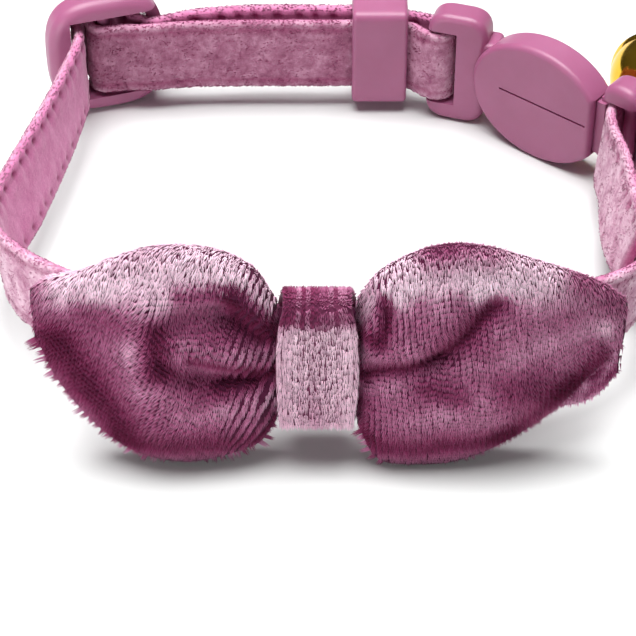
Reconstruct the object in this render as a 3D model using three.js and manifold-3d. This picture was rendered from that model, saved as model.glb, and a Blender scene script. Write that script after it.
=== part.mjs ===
// Breakaway cat collar: one velvet tape with moulded plastic fittings, a folded velvet bow and a small round bell.
// Millimetres, +Z up, the collar standing on the table on its lower edge. +X is to the right, -Y is the bow's side.
// The tape is one length. It starts as a sewn tail, turns round the bar of the plug, runs right - front - left,
// passes through the slider, runs along the back, turns round the bar of the socket and comes back to the slider's centre bar.
import * as THREE from 'three';
import { mergeVertices } from 'three/addons/utils/BufferGeometryUtils.js';
import Module from 'manifold-3d';

// ---------------------------------------------------------------- driving dimensions
const TAPE = { width: 10, thick: 1.4, corner: 0.35, step: 2.4, turn: 24 };
const CENTRE = { x: 0, y: 34 };                       // the middle of the neck opening, for the way the tape leans
const BAR_WRAP = 1.9;                                 // tape centreline round a buckle bar
const BUCKLE = {
  z: 8.0, x: 29.1, y: 56.3, turn: -40,                // middle of the oval body, and its turn in plan
  ovalMid: -0.8, ovalHalfLong: 9.9, ovalHalfTall: 8.0, ovalEnd: 7.6, thick: 4.4, bevel: 0.8,
  frameThick: 4.2, frameBevel: 0.6,
  openHalf: 5.4, bar: 0.85,
  plugTall: 7.6, plugThick: 1.8, plugLong: 12.5, gap: 0.3,
  groove: { width: 0.5, deep: 0.25, from: -7, to: 7 },
};
const SOCKET_FRAME = { x: 14.45, y: 66.0, turn: -18, bar: [0.1, 1.9], slot: [1.9, 3.95], long: 7.9, halfTall: 7.9, corner: 2.9 };    // x, y: the free end of its axis
const PLUG_FRAME = { x: 35.77, y: 50.71, turn: -40, bar: [2.45, 4.15], slot: [0.5, 2.45], long: 5.1, halfTall: 7.8, corner: 2.4, postFrom: -0.4 };
const SLIDER = { x: -27.5, y: 67.3, z: 8.4, turn: 18, halfLong: 7.7, halfTall: 8.2, thick: 4.4, bevel: 0.9,
  openHalf: 5.95, slotIn: 4.85, slotOut: 5.5, centreBar: 0.85, sideBarTo: -0.15, wrap: 1.9, pass: 3.75 };
const KEEPER = { x: [4.4, 11.5], y: [64.65, 70.75], z: 8.3, halfTall: 6.9, wallY: 0.95, wallZ: 0.9, corner: 0.9, bevel: 0.35 };
// The band's section, round the bow's middle and the tape: out of the bow's front, and up the bow.
const BAND = { x: -0.1, width: 8.4, wall: 1.2, corner: 1.7, section: [[2.46, -7.75], [2.46, 7.75], [-1.6, 7.75], [-5.95, 4.45], [-5.95, -7.75]] };
const BOW = { y: 1.5, z: 13.7, lean: 10.38, wall: 1.2, slack: 1.75 };
const BELL = { radius: 6.0, wall: 0.55, flange: 0.35, flangeHalf: 0.5, slotWide: 1.1, slotReach: 4.3, slotHole: 0.95, shank: 1.2, shankWire: 0.4 };
const RING = { radius: 2.03, wire: 0.4 };
const EYE = { along: -0.05, out: 2.0, half: 1.7, thick: 1.3, hole: 1.0, root: 1.2, z: 8.0 };

// The tape's middle line: plan place, height of its middle, lean (+ : top edge away from the neck), and half its width.
const row = (x, y, z, lean, half = TAPE.width / 2) => ({ x, y, z, lean, half });
const TAIL = [
  row(35.9, 24.0, 9.8, 19, 4.3), row(35.4, 29.2, 9.3, 21, 4.3), row(35.4, 34.5, 8.9, 20, 4.35), row(35.5, 39.5, 8.6, 14, 4.4),
  row(35.1, 44.0, 8.3, 8, 4.6), row(35.2, 46.7, 8.1, 5, 4.8), row(35.82, 48.4, 8.0, 2, 4.9),
];
const AROUND = [
  row(40.2, 45.4, 8.1, 2), row(39.2, 41.0, 8.5, 9), row(38.0, 35.5, 9.0, 17), row(37.5, 30.0, 9.5, 19),
  row(37.8, 24.5, 10.0, 17), row(37.2, 19.6, 10.4, 11), row(34.8, 15.0, 10.8, 4), row(30.0, 11.2, 11.2, -3),
  row(22.0, 8.0, 11.6, -8), row(12.0, 5.9, 11.7, -10.4), row(4.0, 4.95, 11.7, -10.4), row(-4.0, 4.95, 11.7, -10.4),
  row(-12.0, 5.9, 11.7, -10.4), row(-22.0, 9.6, 11.4, -7), row(-29.0, 14.2, 10.6, -5), row(-33.4, 18.7, 9.7, -3),
  row(-36.2, 24.0, 9.0, 6), row(-36.4, 30.0, 8.7, 14), row(-35.0, 36.5, 8.5, 15), row(-33.6, 43.0, 8.3, 12),
  row(-32.2, 50.0, 8.1, 9), row(-31.1, 56.5, 8.0, 7), row(-30.4, 61.5, 8.0, 4),
];
const BACK_OUT = [row(-15.5, 68.55, 8.6, 0), row(-8.0, 69.0, 8.9, 0), row(0.0, 69.0, 8.9, 0), row(8.0, 68.8, 8.8, 0), row(12.6, 68.25, 8.35, 0)];
const BACK_IN = [row(13.3, 64.95, 8.0, 0), row(12.0, 66.25, 8.0, 0), row(8.5, 66.85, 8.0, 0), row(0.0, 66.85, 8.0, 0),
  row(-8.0, 66.85, 8.0, 0), row(-15.0, 66.7, 8.0, 0)];

// The bow's outline, left tip to right tip: place along the bow, top edge, lower edge in front, lower edge behind, how far it stands out, roll radius.
const edge = (a, top, bot, back, out, roll) => ({ a, top, bot, back, out, roll });
const BOW_EDGE = [
  edge(-29.7, 7.4, 3.8, 4.0, -0.6, 0.9), edge(-29.3, 8.4, 2.2, 2.6, -0.2, 1.0), edge(-28.3, 9.2, -0.6, 0.2, 0.3, 1.2),
  edge(-26.5, 9.6, -4.0, -3.0, 0.9, 1.4), edge(-24.7, 10.1, -6.8, -5.8, 1.4, 1.5), edge(-22.7, 11.2, -9.3, -8.2, 1.9, 1.6),
  edge(-20.7, 12.1, -11.1, -10.0, 2.3, 1.7), edge(-18.9, 12.9, -12.2, -11.0, 2.6, 1.7), edge(-16.5, 13.4, -13.0, -12.0, 2.7, 1.7),
  edge(-13.8, 13.5, -13.2, -12.2, 2.6, 1.7), edge(-10.5, 13.0, -12.4, -11.4, 2.4, 1.6), edge(-7.7, 11.6, -11.2, -10.2, 1.9, 1.5),
  edge(-5.9, 9.9, -10.2, -9.2, 1.3, 1.2), edge(-5.2, 8.0, -8.6, -7.8, 0.7, 1.0), edge(-4.6, 5.8, -6.0, -5.9, 0.1, 0.9),
  edge(4.4, 5.8, -6.0, -5.9, 0.1, 0.9),
  edge(4.9, 8.0, -9.0, -8.0, 0.7, 1.0), edge(5.5, 9.5, -11.5, -10.4, 1.3, 1.2), edge(6.6, 10.4, -12.9, -11.8, 1.6, 1.3),
  edge(8.6, 11.9, -13.4, -12.4, 2.1, 1.5), edge(11.5, 13.2, -13.5, -12.5, 2.4, 1.6), edge(14.3, 13.7, -13.3, -12.6, 2.6, 1.7),
  edge(17.7, 13.3, -12.0, -11.4, 2.7, 1.7), edge(21.5, 12.1, -9.5, -9.6, 2.4, 1.6), edge(25.3, 10.7, -6.2, -7.2, 1.8, 1.5),
  edge(28.6, 9.3, -1.8, -6.6, 1.0, 1.3), edge(31.0, 7.8, 0.8, -4.6, 0.2, 1.1), edge(32.0, 6.2, 2.4, -1.6, -0.4, 0.9),
];
// Folds pressed into the bow's front: two ends along the bow (a) and up it (b), depth (+ ridge, - hollow) and half width.
const fold = (name, a1, b1, a2, b2, deep, wide) => ({ name, a1, b1, a2, b2, deep, wide });
const BOW_FOLDS = [
  fold('left_roll_outer', -17.5, 9.0, -9.5, 10.6, 0.7, 2.4), fold('left_roll_inner', -9.5, 10.6, -5.4, 5.6, 0.9, 1.9),
  fold('left_hollow_outer', -14.0, 6.0, -9.6, 6.4, -1.1, 2.2), fold('left_hollow_inner', -9.6, 6.4, -6.0, 2.6, -1.4, 1.9),
  fold('left_middle_ridge', -15.0, 2.6, -5.4, -0.2, 0.7, 1.6), fold('left_pocket', -13.0, -1.6, -6.4, -3.0, -1.3, 1.8),
  fold('left_low_bulge', -14.0, -8.0, -6.0, -6.6, 0.7, 2.6), fold('left_upright_ridge', -19.0, 7.0, -17.6, -6.0, 0.9, 2.8),
  fold('right_curl', 5.4, 7.4, 5.4, 2.4, 0.8, 1.6), fold('right_pocket', 7.6, 6.8, 7.2, 3.6, -0.9, 1.5),
  fold('right_bulge', 9.0, 2.8, 13.6, 8.0, 0.9, 2.6), fold('right_valley_inner', 5.4, -2.0, 12.8, -0.9, -1.3, 1.8),
  fold('right_valley_outer', 12.8, -0.9, 17.5, 6.4, -1.5, 1.8), fold('right_low_bulge', 7.0, -7.2, 22.0, -2.0, 0.9, 3.0),
];

// ---------------------------------------------------------------- colours
const finish = (color, roughness, metalness = 0) => new THREE.MeshStandardMaterial({ color, roughness, metalness });
const VELVET = finish(0xb97a9c, 0.95), VELVET_DARK = finish(0x9a4f7a, 0.95), PLASTIC = finish(0xaa6f92, 0.5), BRASS = finish(0xd9a514, 0.25, 1);

// ---------------------------------------------------------------- helpers
const wasm = await Module();
wasm.setup();
const rad = THREE.MathUtils.degToRad;
const smooth = (a, b, x) => THREE.MathUtils.smoothstep(x, a, b);

function bare(geometry) {
  const g = geometry.index ? geometry.toNonIndexed() : geometry.clone();
  return mergeVertices(new THREE.BufferGeometry().setAttribute('position', g.getAttribute('position')), 1e-4);
}
function solid(geometry) {
  const g = bare(geometry);
  return new wasm.Manifold(new wasm.Mesh({ numProp: 3, vertProperties: g.attributes.position.array, triVerts: new Uint32Array(g.index.array) }));
}
function geometryOf(made) {
  const m = made.getMesh(), v = new Float32Array(m.numVert * 3);
  for (let i = 0; i < m.numVert; i++) v.set(m.vertProperties.subarray(i * m.numProp, i * m.numProp + 3), i * 3);
  return new THREE.BufferGeometry().setAttribute('position', new THREE.BufferAttribute(v, 3)).setIndex(new THREE.BufferAttribute(m.triVerts, 1));
}
function box(x0, x1, y0, y1, z0, z1) {
  return new THREE.BoxGeometry(x1 - x0, y1 - y0, z1 - z0).translate((x0 + x1) / 2, (y0 + y1) / 2, (z0 + z1) / 2);
}
// A closed body from a grid of points: every row is a closed ring (wrap) or an open one, and the ends are capped.
function meshOf(points, faces) {
  const position = new Float32Array(points.length * 3);
  points.forEach((p, i) => position.set([p.x, p.y, p.z], 3 * i));
  const index = faces.flat();
  let volume = 0;
  for (let i = 0; i < index.length; i += 3) {
    const [p, q, r] = [points[index[i]], points[index[i + 1]], points[index[i + 2]]];
    volume += p.dot(q.clone().cross(r)) / 6;
  }
  if (volume < 0) for (let i = 0; i < index.length; i += 3) [index[i + 1], index[i + 2]] = [index[i + 2], index[i + 1]];
  return new THREE.BufferGeometry().setAttribute('position', new THREE.BufferAttribute(position, 3)).setIndex(index);
}
function loft(rings) {
  const n = rings[0].length, points = rings.flat(), faces = [];
  for (let i = 0; i + 1 < rings.length; i++)
    for (let j = 0; j < n; j++) {
      const a = i * n + j, b = i * n + (j + 1) % n;
      faces.push([a, a + n, b], [b, a + n, b + n]);
    }
  const last = (rings.length - 1) * n;
  for (let j = 1; j + 1 < n; j++) faces.push([0, j, j + 1], [last, last + j + 1, last + j]);
  return meshOf(points, faces);
}
// A sheet of even thickness on a grid of middle points.
function sheet(grid, half) {
  const rows = grid.length, cols = grid[0].length, points = [], faces = [];
  const at = (i, j) => grid[Math.min(Math.max(i, 0), rows - 1)][Math.min(Math.max(j, 0), cols - 1)];
  for (const side of [1, -1])
    for (let i = 0; i < rows; i++)
      for (let j = 0; j < cols; j++) {
        const along = at(i + 1, j).clone().sub(at(i - 1, j)), up = at(i, j + 1).clone().sub(at(i, j - 1));
        points.push(at(i, j).clone().addScaledVector(along.cross(up).normalize(), side * half));
      }
  const id = (s, i, j) => s * rows * cols + i * cols + j;
  const quad = (a, b, c, d) => faces.push([a, b, c], [a, c, d]);
  for (let i = 0; i + 1 < rows; i++)
    for (let j = 0; j + 1 < cols; j++) {
      quad(id(0, i, j), id(0, i + 1, j), id(0, i + 1, j + 1), id(0, i, j + 1));
      quad(id(1, i, j), id(1, i, j + 1), id(1, i + 1, j + 1), id(1, i + 1, j));
    }
  for (let i = 0; i + 1 < rows; i++) {
    quad(id(0, i, 0), id(1, i, 0), id(1, i + 1, 0), id(0, i + 1, 0));
    quad(id(0, i, cols - 1), id(0, i + 1, cols - 1), id(1, i + 1, cols - 1), id(1, i, cols - 1));
  }
  for (let j = 0; j + 1 < cols; j++) {
    quad(id(0, 0, j), id(0, 0, j + 1), id(1, 0, j + 1), id(1, 0, j));
    quad(id(0, rows - 1, j), id(1, rows - 1, j), id(1, rows - 1, j + 1), id(0, rows - 1, j + 1));
  }
  return meshOf(points, faces);
}
const plan = (frame, along, out) => {
  const t = rad(frame.turn);
  return [frame.x + along * Math.cos(t) - out * Math.sin(t), frame.y + along * Math.sin(t) + out * Math.cos(t)];
};
// Points on an arc in plan, angles in degrees.
const arc = (cx, cy, r, from, to, step, z, lean) => {
  const n = Math.round(Math.abs(to - from) / step), out = [];
  for (let i = 0; i <= n; i++) {
    const t = rad(from + (to - from) * i / n);
    out.push(row(cx + r * Math.cos(t), cy + r * Math.sin(t), z, lean));
  }
  return out;
};

// ---------------------------------------------------------------- the tape
function tapePath() {
  const [mx, my] = plan(PLUG_FRAME, (PLUG_FRAME.bar[0] + PLUG_FRAME.bar[1]) / 2, 0);
  const [fx, fy] = plan(SOCKET_FRAME, (SOCKET_FRAME.bar[0] + SOCKET_FRAME.bar[1]) / 2, 0);
  const inSlider = (p, n) => { const [x, y] = plan(SLIDER, p, n); return row(x, y, 8.0, 0); };
  const polar = (r, deg) => inSlider(r * Math.cos(rad(deg)), r * Math.sin(rad(deg)));
  return [
    ...TAIL,
    ...arc(mx, my, BAR_WRAP, PLUG_FRAME.turn + 190, PLUG_FRAME.turn + 35, 31, BUCKLE.z, 0),
    ...AROUND,
    inSlider(-SLIDER.pass, -2.0), polar(SLIDER.pass, 175), polar(SLIDER.pass, 145), polar(SLIDER.pass, 115), polar(SLIDER.pass, 85), polar(SLIDER.pass, 55),
    inSlider(3.7, 0.9), inSlider(5.4, -1.45), inSlider(8.4, -1.75),
    ...BACK_OUT,
    ...arc(fx, fy, BAR_WRAP, SOCKET_FRAME.turn + 95, SOCKET_FRAME.turn - 85, 30, BUCKLE.z, 0),
    ...BACK_IN,
    inSlider(7.6, -3.5), inSlider(4.6, -3.05), inSlider(2.2, -2.2),
    polar(SLIDER.wrap, -90), polar(SLIDER.wrap, -120), polar(SLIDER.wrap, -150), polar(SLIDER.wrap, -180), polar(SLIDER.wrap, -210), polar(SLIDER.wrap, -240),
    polar(SLIDER.wrap, -270), polar(SLIDER.wrap, -300),
  ];
}
function tapeStations(rows) {
  const curve = new THREE.CatmullRomCurve3(rows.map((r) => new THREE.Vector3(r.x, r.y, r.z)), false, 'centripetal');
  const fine = 24, count = (rows.length - 1) * fine, stations = [];
  let since = 0, before = null, heading = null;
  for (let i = 0; i <= count; i++) {
    const t = i / count, p = curve.getPoint(t), tangent = curve.getTangent(t);
    if (before) since += p.distanceTo(before);
    const turned = heading ? THREE.MathUtils.radToDeg(heading.angleTo(tangent)) : 999;
    before = p;
    if (i > 0 && i < count && since < TAPE.step && turned < TAPE.turn) continue;
    const k = Math.min(Math.floor(i / fine), rows.length - 2), f = i / fine - k;
    const lean = THREE.MathUtils.lerp(rows[k].lean, rows[k + 1].lean, f), half = THREE.MathUtils.lerp(rows[k].half, rows[k + 1].half, f);
    const out = new THREE.Vector3(p.x - CENTRE.x, p.y - CENTRE.y, 0).normalize();
    const up = new THREE.Vector3(0, 0, 1).addScaledVector(out, Math.tan(rad(lean)));
    up.addScaledVector(tangent, -up.dot(tangent)).normalize();
    stations.push({ p, up, half, side: new THREE.Vector3().crossVectors(tangent, up).normalize() });
    since = 0;
    heading = tangent;
  }
  return stations;
}
function tape() {
  const h = TAPE.thick / 2, c = TAPE.corner;
  const section = (w) => [[w - c, -h], [w, -h + c], [w, h - c], [w - c, h], [-w + c, h], [-w, h - c], [-w, -h + c], [-w + c, -h]];
  return loft(tapeStations(tapePath()).map((s) => section(s.half).map(([u, v]) => s.p.clone().addScaledVector(s.up, u).addScaledVector(s.side, v))));
}

// ---------------------------------------------------------------- moulded plastic
function roundedRect(x0, x1, y0, y1, r) {
  const s = new THREE.Shape();
  s.moveTo(x0 + r, y0).lineTo(x1 - r, y0).quadraticCurveTo(x1, y0, x1, y0 + r).lineTo(x1, y1 - r).quadraticCurveTo(x1, y1, x1 - r, y1);
  s.lineTo(x0 + r, y1).quadraticCurveTo(x0, y1, x0, y1 - r).lineTo(x0, y0 + r).quadraticCurveTo(x0, y0, x0 + r, y0);
  return s;
}
// The corners of a closed line, moved in by a distance.
function inset(corners, by) {
  const P = corners.map(([x, y]) => new THREE.Vector2(x, y)), n = P.length;
  const turn = Math.sign(P.reduce((a, p, i) => a + p.cross(P[(i + 1) % n]), 0));
  return P.map((p, i) => {
    const d0 = p.clone().sub(P[(i + n - 1) % n]).normalize(), d1 = P[(i + 1) % n].clone().sub(p).normalize();
    const n0 = new THREE.Vector2(-d0.y, d0.x).multiplyScalar(turn), n1 = new THREE.Vector2(-d1.y, d1.x).multiplyScalar(turn);
    const m = n0.clone().add(n1);
    return p.clone().addScaledVector(m, by / (1 + n0.dot(n1))).toArray();
  });
}
// A closed line with its corners rounded.
function roundedLoop(corners, r) {
  const n = corners.length, out = [];
  for (let i = 0; i < n; i++) {
    const p = new THREE.Vector2(...corners[i]), a = new THREE.Vector2(...corners[(i + n - 1) % n]).sub(p).normalize(), b = new THREE.Vector2(...corners[(i + 1) % n]).sub(p).normalize();
    const from = p.clone().addScaledVector(a, r), to = p.clone().addScaledVector(b, r);
    out.push(...new THREE.QuadraticBezierCurve(from, p, to).getPoints(5));
  }
  return out;
}
// A shape drawn in (along, height), given its thickness across, centred on y = 0.
function plate(shape, thick, bevel, segments = 6) {
  const g = new THREE.ExtrudeGeometry(shape, { depth: thick - 2 * bevel, bevelThickness: bevel, bevelSize: bevel, bevelOffset: -bevel, bevelSegments: 2, curveSegments: segments });
  return g.translate(0, 0, bevel - thick / 2).rotateX(Math.PI / 2);
}
function ovalShape() {
  const s = new THREE.Shape(), n = 44, B = BUCKLE;
  const pts = [];
  for (let i = 0; i < n; i++) {
    const t = (i / n) * 2 * Math.PI;
    pts.push(new THREE.Vector2(Math.min(B.ovalMid + B.ovalHalfLong * Math.cos(t), B.ovalEnd), B.ovalHalfTall * Math.sin(t)));
  }
  return s.setFromPoints(pts.filter((p, i) => i === 0 || p.distanceTo(pts[i - 1]) > 0.05));
}
// A round bar standing upright.
const upright = (radius, tall) => new THREE.CylinderGeometry(radius, radius, tall, 12).rotateX(Math.PI / 2);
// A strap frame: rails above and below an opening, with a thin bar for the tape to turn round.
function strapFrame(frame) {
  const B = BUCKLE, long = frame.long;
  let made = solid(plate(roundedRect(0, long, -frame.halfTall, frame.halfTall, frame.corner), B.frameThick, B.frameBevel));
  if (frame.postFrom) made = made.subtract(solid(box(-2, frame.slot[0] + 0.1, -9, frame.postFrom, -B.openHalf, B.openHalf)));
  const [from, to] = frame.bar[0] < frame.slot[0] ? [-2, frame.slot[1]] : [frame.slot[0], long + 2];
  made = made.subtract(solid(box(from, to, -9, 9, -B.openHalf, B.openHalf)));
  return geometryOf(made.add(solid(upright(B.bar, 2 * B.openHalf + 1).translate((frame.bar[0] + frame.bar[1]) / 2, 0, 0))));
}
const placed = (geometry, frame, z) => geometry.applyMatrix4(new THREE.Matrix4().makeRotationZ(rad(frame.turn)).setPosition(frame.x, frame.y, z));

function socket() {
  const B = BUCKLE, G = B.groove;
  let oval = solid(plate(ovalShape(), B.thick, B.bevel));
  oval = oval.subtract(solid(box(B.ovalEnd - B.plugLong - B.gap, B.ovalEnd + 2, -B.plugThick / 2 - B.gap, B.plugThick / 2 + B.gap, -B.plugTall / 2 - B.gap, B.plugTall / 2 + B.gap)));
  for (const s of [-1, 1]) {
    const y = s * B.thick / 2;
    oval = oval.subtract(solid(box(G.from, G.to, y - G.deep, y + G.deep, -G.width / 2, G.width / 2)));
  }
  const body = solid(placed(geometryOf(oval), B, 0));
  const frame = solid(placed(strapFrame(SOCKET_FRAME), SOCKET_FRAME, 0));
  const neck = solid(placed(box(4.9, 9.4, -1.9, 1.9, -4.6, 4.6), SOCKET_FRAME, 0));
  const hollow = solid(placed(box(B.ovalEnd - B.plugLong - B.gap, B.ovalEnd, -B.plugThick / 2 - B.gap, B.plugThick / 2 + B.gap, -B.plugTall / 2 - B.gap, B.plugTall / 2 + B.gap), B, 0));
  return geometryOf(body.add(frame).add(neck).subtract(hollow)).translate(0, 0, B.z);
}
function plug() {
  const B = BUCKLE;
  const frame = solid(placed(strapFrame(PLUG_FRAME), PLUG_FRAME, 0));
  const tongue = solid(placed(box(B.ovalEnd - B.plugLong, B.ovalEnd + 1.2, -B.plugThick / 2, B.plugThick / 2, -B.plugTall / 2, B.plugTall / 2), B, 0));
  const shoulder = solid(placed(box(B.ovalEnd + B.gap, B.ovalEnd + 1.6, -0.4, 1.8, -4.4, 4.4), B, 0));
  const clear = solid(placed(box(B.ovalEnd - 14, B.ovalEnd + B.gap, -9, 9, -9, 9), B, 0));
  const [ex, ey] = plan(PLUG_FRAME, EYE.along, B.frameThick / 2 + EYE.out);
  const [rx, ry] = plan(PLUG_FRAME, EYE.along, B.frameThick / 2 - 0.6);
  const eye = solid(new THREE.CylinderGeometry(EYE.half, EYE.half, EYE.thick, 20).rotateX(Math.PI / 2).translate(ex, ey, EYE.z - B.z));
  const root = solid(new THREE.BoxGeometry(EYE.root, EYE.out + 0.6, EYE.thick).rotateZ(rad(PLUG_FRAME.turn)).translate((ex + rx) / 2, (ey + ry) / 2, EYE.z - B.z));
  const hole = solid(new THREE.CylinderGeometry(EYE.hole, EYE.hole, 4, 16).rotateX(Math.PI / 2).translate(ex, ey, EYE.z - B.z));
  return geometryOf(frame.add(shoulder).subtract(clear).add(tongue).add(root).add(eye).subtract(hole)).translate(0, 0, B.z);
}
function slider() {
  const S = SLIDER, shape = new THREE.Shape(), n = 40, pts = [];
  for (let i = 0; i < n; i++) {
    const t = (i / n) * 2 * Math.PI, c = Math.cos(t), s = Math.sin(t), power = 2 / 3.1;
    pts.push(new THREE.Vector2(S.halfLong * Math.sign(c) * Math.abs(c) ** power, S.halfTall * Math.sign(s) * Math.abs(s) ** power));
  }
  shape.setFromPoints(pts);
  let made = solid(plate(shape, S.thick, S.bevel));
  made = made.subtract(solid(box(-S.slotIn, S.slotOut, -9, 9, -S.openHalf, S.openHalf))).add(solid(upright(S.centreBar, 2 * S.openHalf + 1)));
  made = made.subtract(solid(box(S.slotOut - 0.1, S.halfLong + 2, -9, S.sideBarTo, -S.openHalf, S.openHalf)));
  return placed(geometryOf(made), S, S.z);
}
function keeper() {
  const K = KEEPER, long = K.x[1] - K.x[0], deep = K.y[1] - K.y[0];
  const s = roundedRect(-deep / 2, deep / 2, -K.halfTall, K.halfTall, K.corner);
  const g = new THREE.ExtrudeGeometry(s, { depth: long - 2 * K.bevel, bevelThickness: K.bevel, bevelSize: K.bevel, bevelOffset: -K.bevel, bevelSegments: 2, curveSegments: 5 });
  g.translate(0, 0, K.bevel - long / 2).applyMatrix4(new THREE.Matrix4().makeBasis(new THREE.Vector3(0, 1, 0), new THREE.Vector3(0, 0, 1), new THREE.Vector3(1, 0, 0)));
  const inner = box(-long, long, -deep / 2 + K.wallY, deep / 2 - K.wallY, -K.halfTall + K.wallZ, K.halfTall - K.wallZ);
  return geometryOf(solid(g).subtract(solid(inner))).translate((K.x[0] + K.x[1]) / 2, (K.y[0] + K.y[1]) / 2, K.z);
}

// ---------------------------------------------------------------- the bow
// (a along the bow, b up it, n out of its front) to the part's frame
const bowPoint = (a, b, n) => {
  const t = rad(BOW.lean);
  return new THREE.Vector3(a, BOW.y + b * Math.sin(t) - n * Math.cos(t), BOW.z + b * Math.cos(t) + n * Math.sin(t));
};
function bowRow(a) {
  let k = 0;
  while (k < BOW_EDGE.length - 2 && a > BOW_EDGE[k + 1].a) k++;
  const p = BOW_EDGE[k], q = BOW_EDGE[k + 1], f = Math.min(Math.max((a - p.a) / (q.a - p.a), 0), 1);
  return Object.fromEntries(Object.keys(p).map((key) => [key, p[key] + (q[key] - p[key]) * f]));
}
function foldDepth(a, b) {
  let n = 0;
  for (const f of BOW_FOLDS) {
    const da = f.a2 - f.a1, db = f.b2 - f.b1, t = Math.min(Math.max(((a - f.a1) * da + (b - f.b1) * db) / (da * da + db * db), 0), 1);
    const d2 = (a - f.a1 - t * da) ** 2 + (b - f.b1 - t * db) ** 2;
    n += f.deep * Math.exp(-d2 / (f.wide * f.wide));
  }
  return n * smooth(4.3, 6.4, Math.abs(a));
}
function bowSection(a) {
  const e = bowRow(a), mid = (e.top + e.bot) / 2, half = (e.top - e.bot) / 2, h = BOW.wall / 2;
  const stand = (b) => { const t = Math.min(Math.abs((b - mid) / half), 1) ** 3; return b > mid ? e.out * (1 - 0.75 * t) : e.out * (1 - 1.25 * t); };
  const r = e.roll, topLine = e.top - h - r, nTop = stand(topLine), nBack = nTop - 2 * r;
  const down = e.back, backAt = (b) => THREE.MathUtils.lerp(Math.min(stand(e.bot) - BOW.slack, nBack + 0.9), nBack, smooth(down, topLine, b));
  const out = [], front = 11, roll = 4, back = 6;
  for (let j = 0; j < front; j++) {
    const b = e.bot + (topLine - e.bot) * j / (front - 1);
    const n = stand(b) + foldDepth(a, b) * (1 - smooth(topLine - 2.5, topLine, b));
    out.push([b, Math.max(n, backAt(b) + BOW.slack)]);
  }
  for (let j = 1; j < roll; j++) {
    const t = Math.PI * j / roll;
    out.push([topLine + r * Math.sin(t), nTop - r + r * Math.cos(t)]);
  }
  for (let j = 0; j < back; j++) { const b = topLine + (down - topLine) * j / (back - 1); out.push([b, backAt(b)]); }
  return out.map(([b, n]) => bowPoint(a, b, n));
}
function bow() {
  const stops = [];
  for (let k = 0; k + 1 < BOW_EDGE.length; k++) {
    const n = Math.max(1, Math.round((BOW_EDGE[k + 1].a - BOW_EDGE[k].a) / 2.6));
    for (let i = 0; i < n; i++) stops.push(BOW_EDGE[k].a + (BOW_EDGE[k + 1].a - BOW_EDGE[k].a) * i / n);
  }
  stops.push(BOW_EDGE.at(-1).a);
  return sheet(stops.map(bowSection), BOW.wall / 2);
}
function band() {
  const D = BAND, outer = new THREE.Shape(roundedLoop(D.section, D.corner));
  outer.holes.push(new THREE.Path(roundedLoop(inset(D.section, D.wall), D.corner - D.wall + 0.3)));
  const g = new THREE.ExtrudeGeometry(outer, { depth: D.width, bevelEnabled: false });
  g.translate(0, 0, D.x - D.width / 2);
  const t = rad(BOW.lean), X = new THREE.Vector3(0, -Math.cos(t), Math.sin(t)), Y = new THREE.Vector3(0, Math.sin(t), Math.cos(t)), Z = new THREE.Vector3(1, 0, 0);
  return meshFlip(g.applyMatrix4(new THREE.Matrix4().makeBasis(X, Y, Z).setPosition(0, BOW.y, BOW.z)));
}
// Turns a geometry's faces outward after a mirroring.
function meshFlip(geometry) {
  const g = bare(geometry), a = g.attributes.position, pts = [];
  for (let i = 0; i < a.count; i++) pts.push(new THREE.Vector3().fromBufferAttribute(a, i));
  const faces = [];
  for (let i = 0; i < g.index.count; i += 3) faces.push([g.index.getX(i), g.index.getX(i + 1), g.index.getX(i + 2)]);
  return meshOf(pts, faces);
}

// ---------------------------------------------------------------- bell and ring
const EYE_AT = (() => { const [x, y] = plan(PLUG_FRAME, EYE.along, BUCKLE.frameThick / 2 + EYE.out); return new THREE.Vector3(x, y, EYE.z); })();
const BELL_DOWN = 1.6;                                   // how much lower the bell's middle is than the eye
const BELL_WAY = new THREE.Vector3(0.48, 0.877, 0);      // the way it lies from the eye, in plan
const REACH = 2 * RING.radius + BELL.radius + BELL.shank * 0.85;
const BELL_AT = EYE_AT.clone().addScaledVector(BELL_WAY.clone().normalize(), Math.sqrt(REACH ** 2 - BELL_DOWN ** 2)).setZ(EYE.z - BELL_DOWN);
const TO_EYE = EYE_AT.clone().sub(BELL_AT).normalize();

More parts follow.
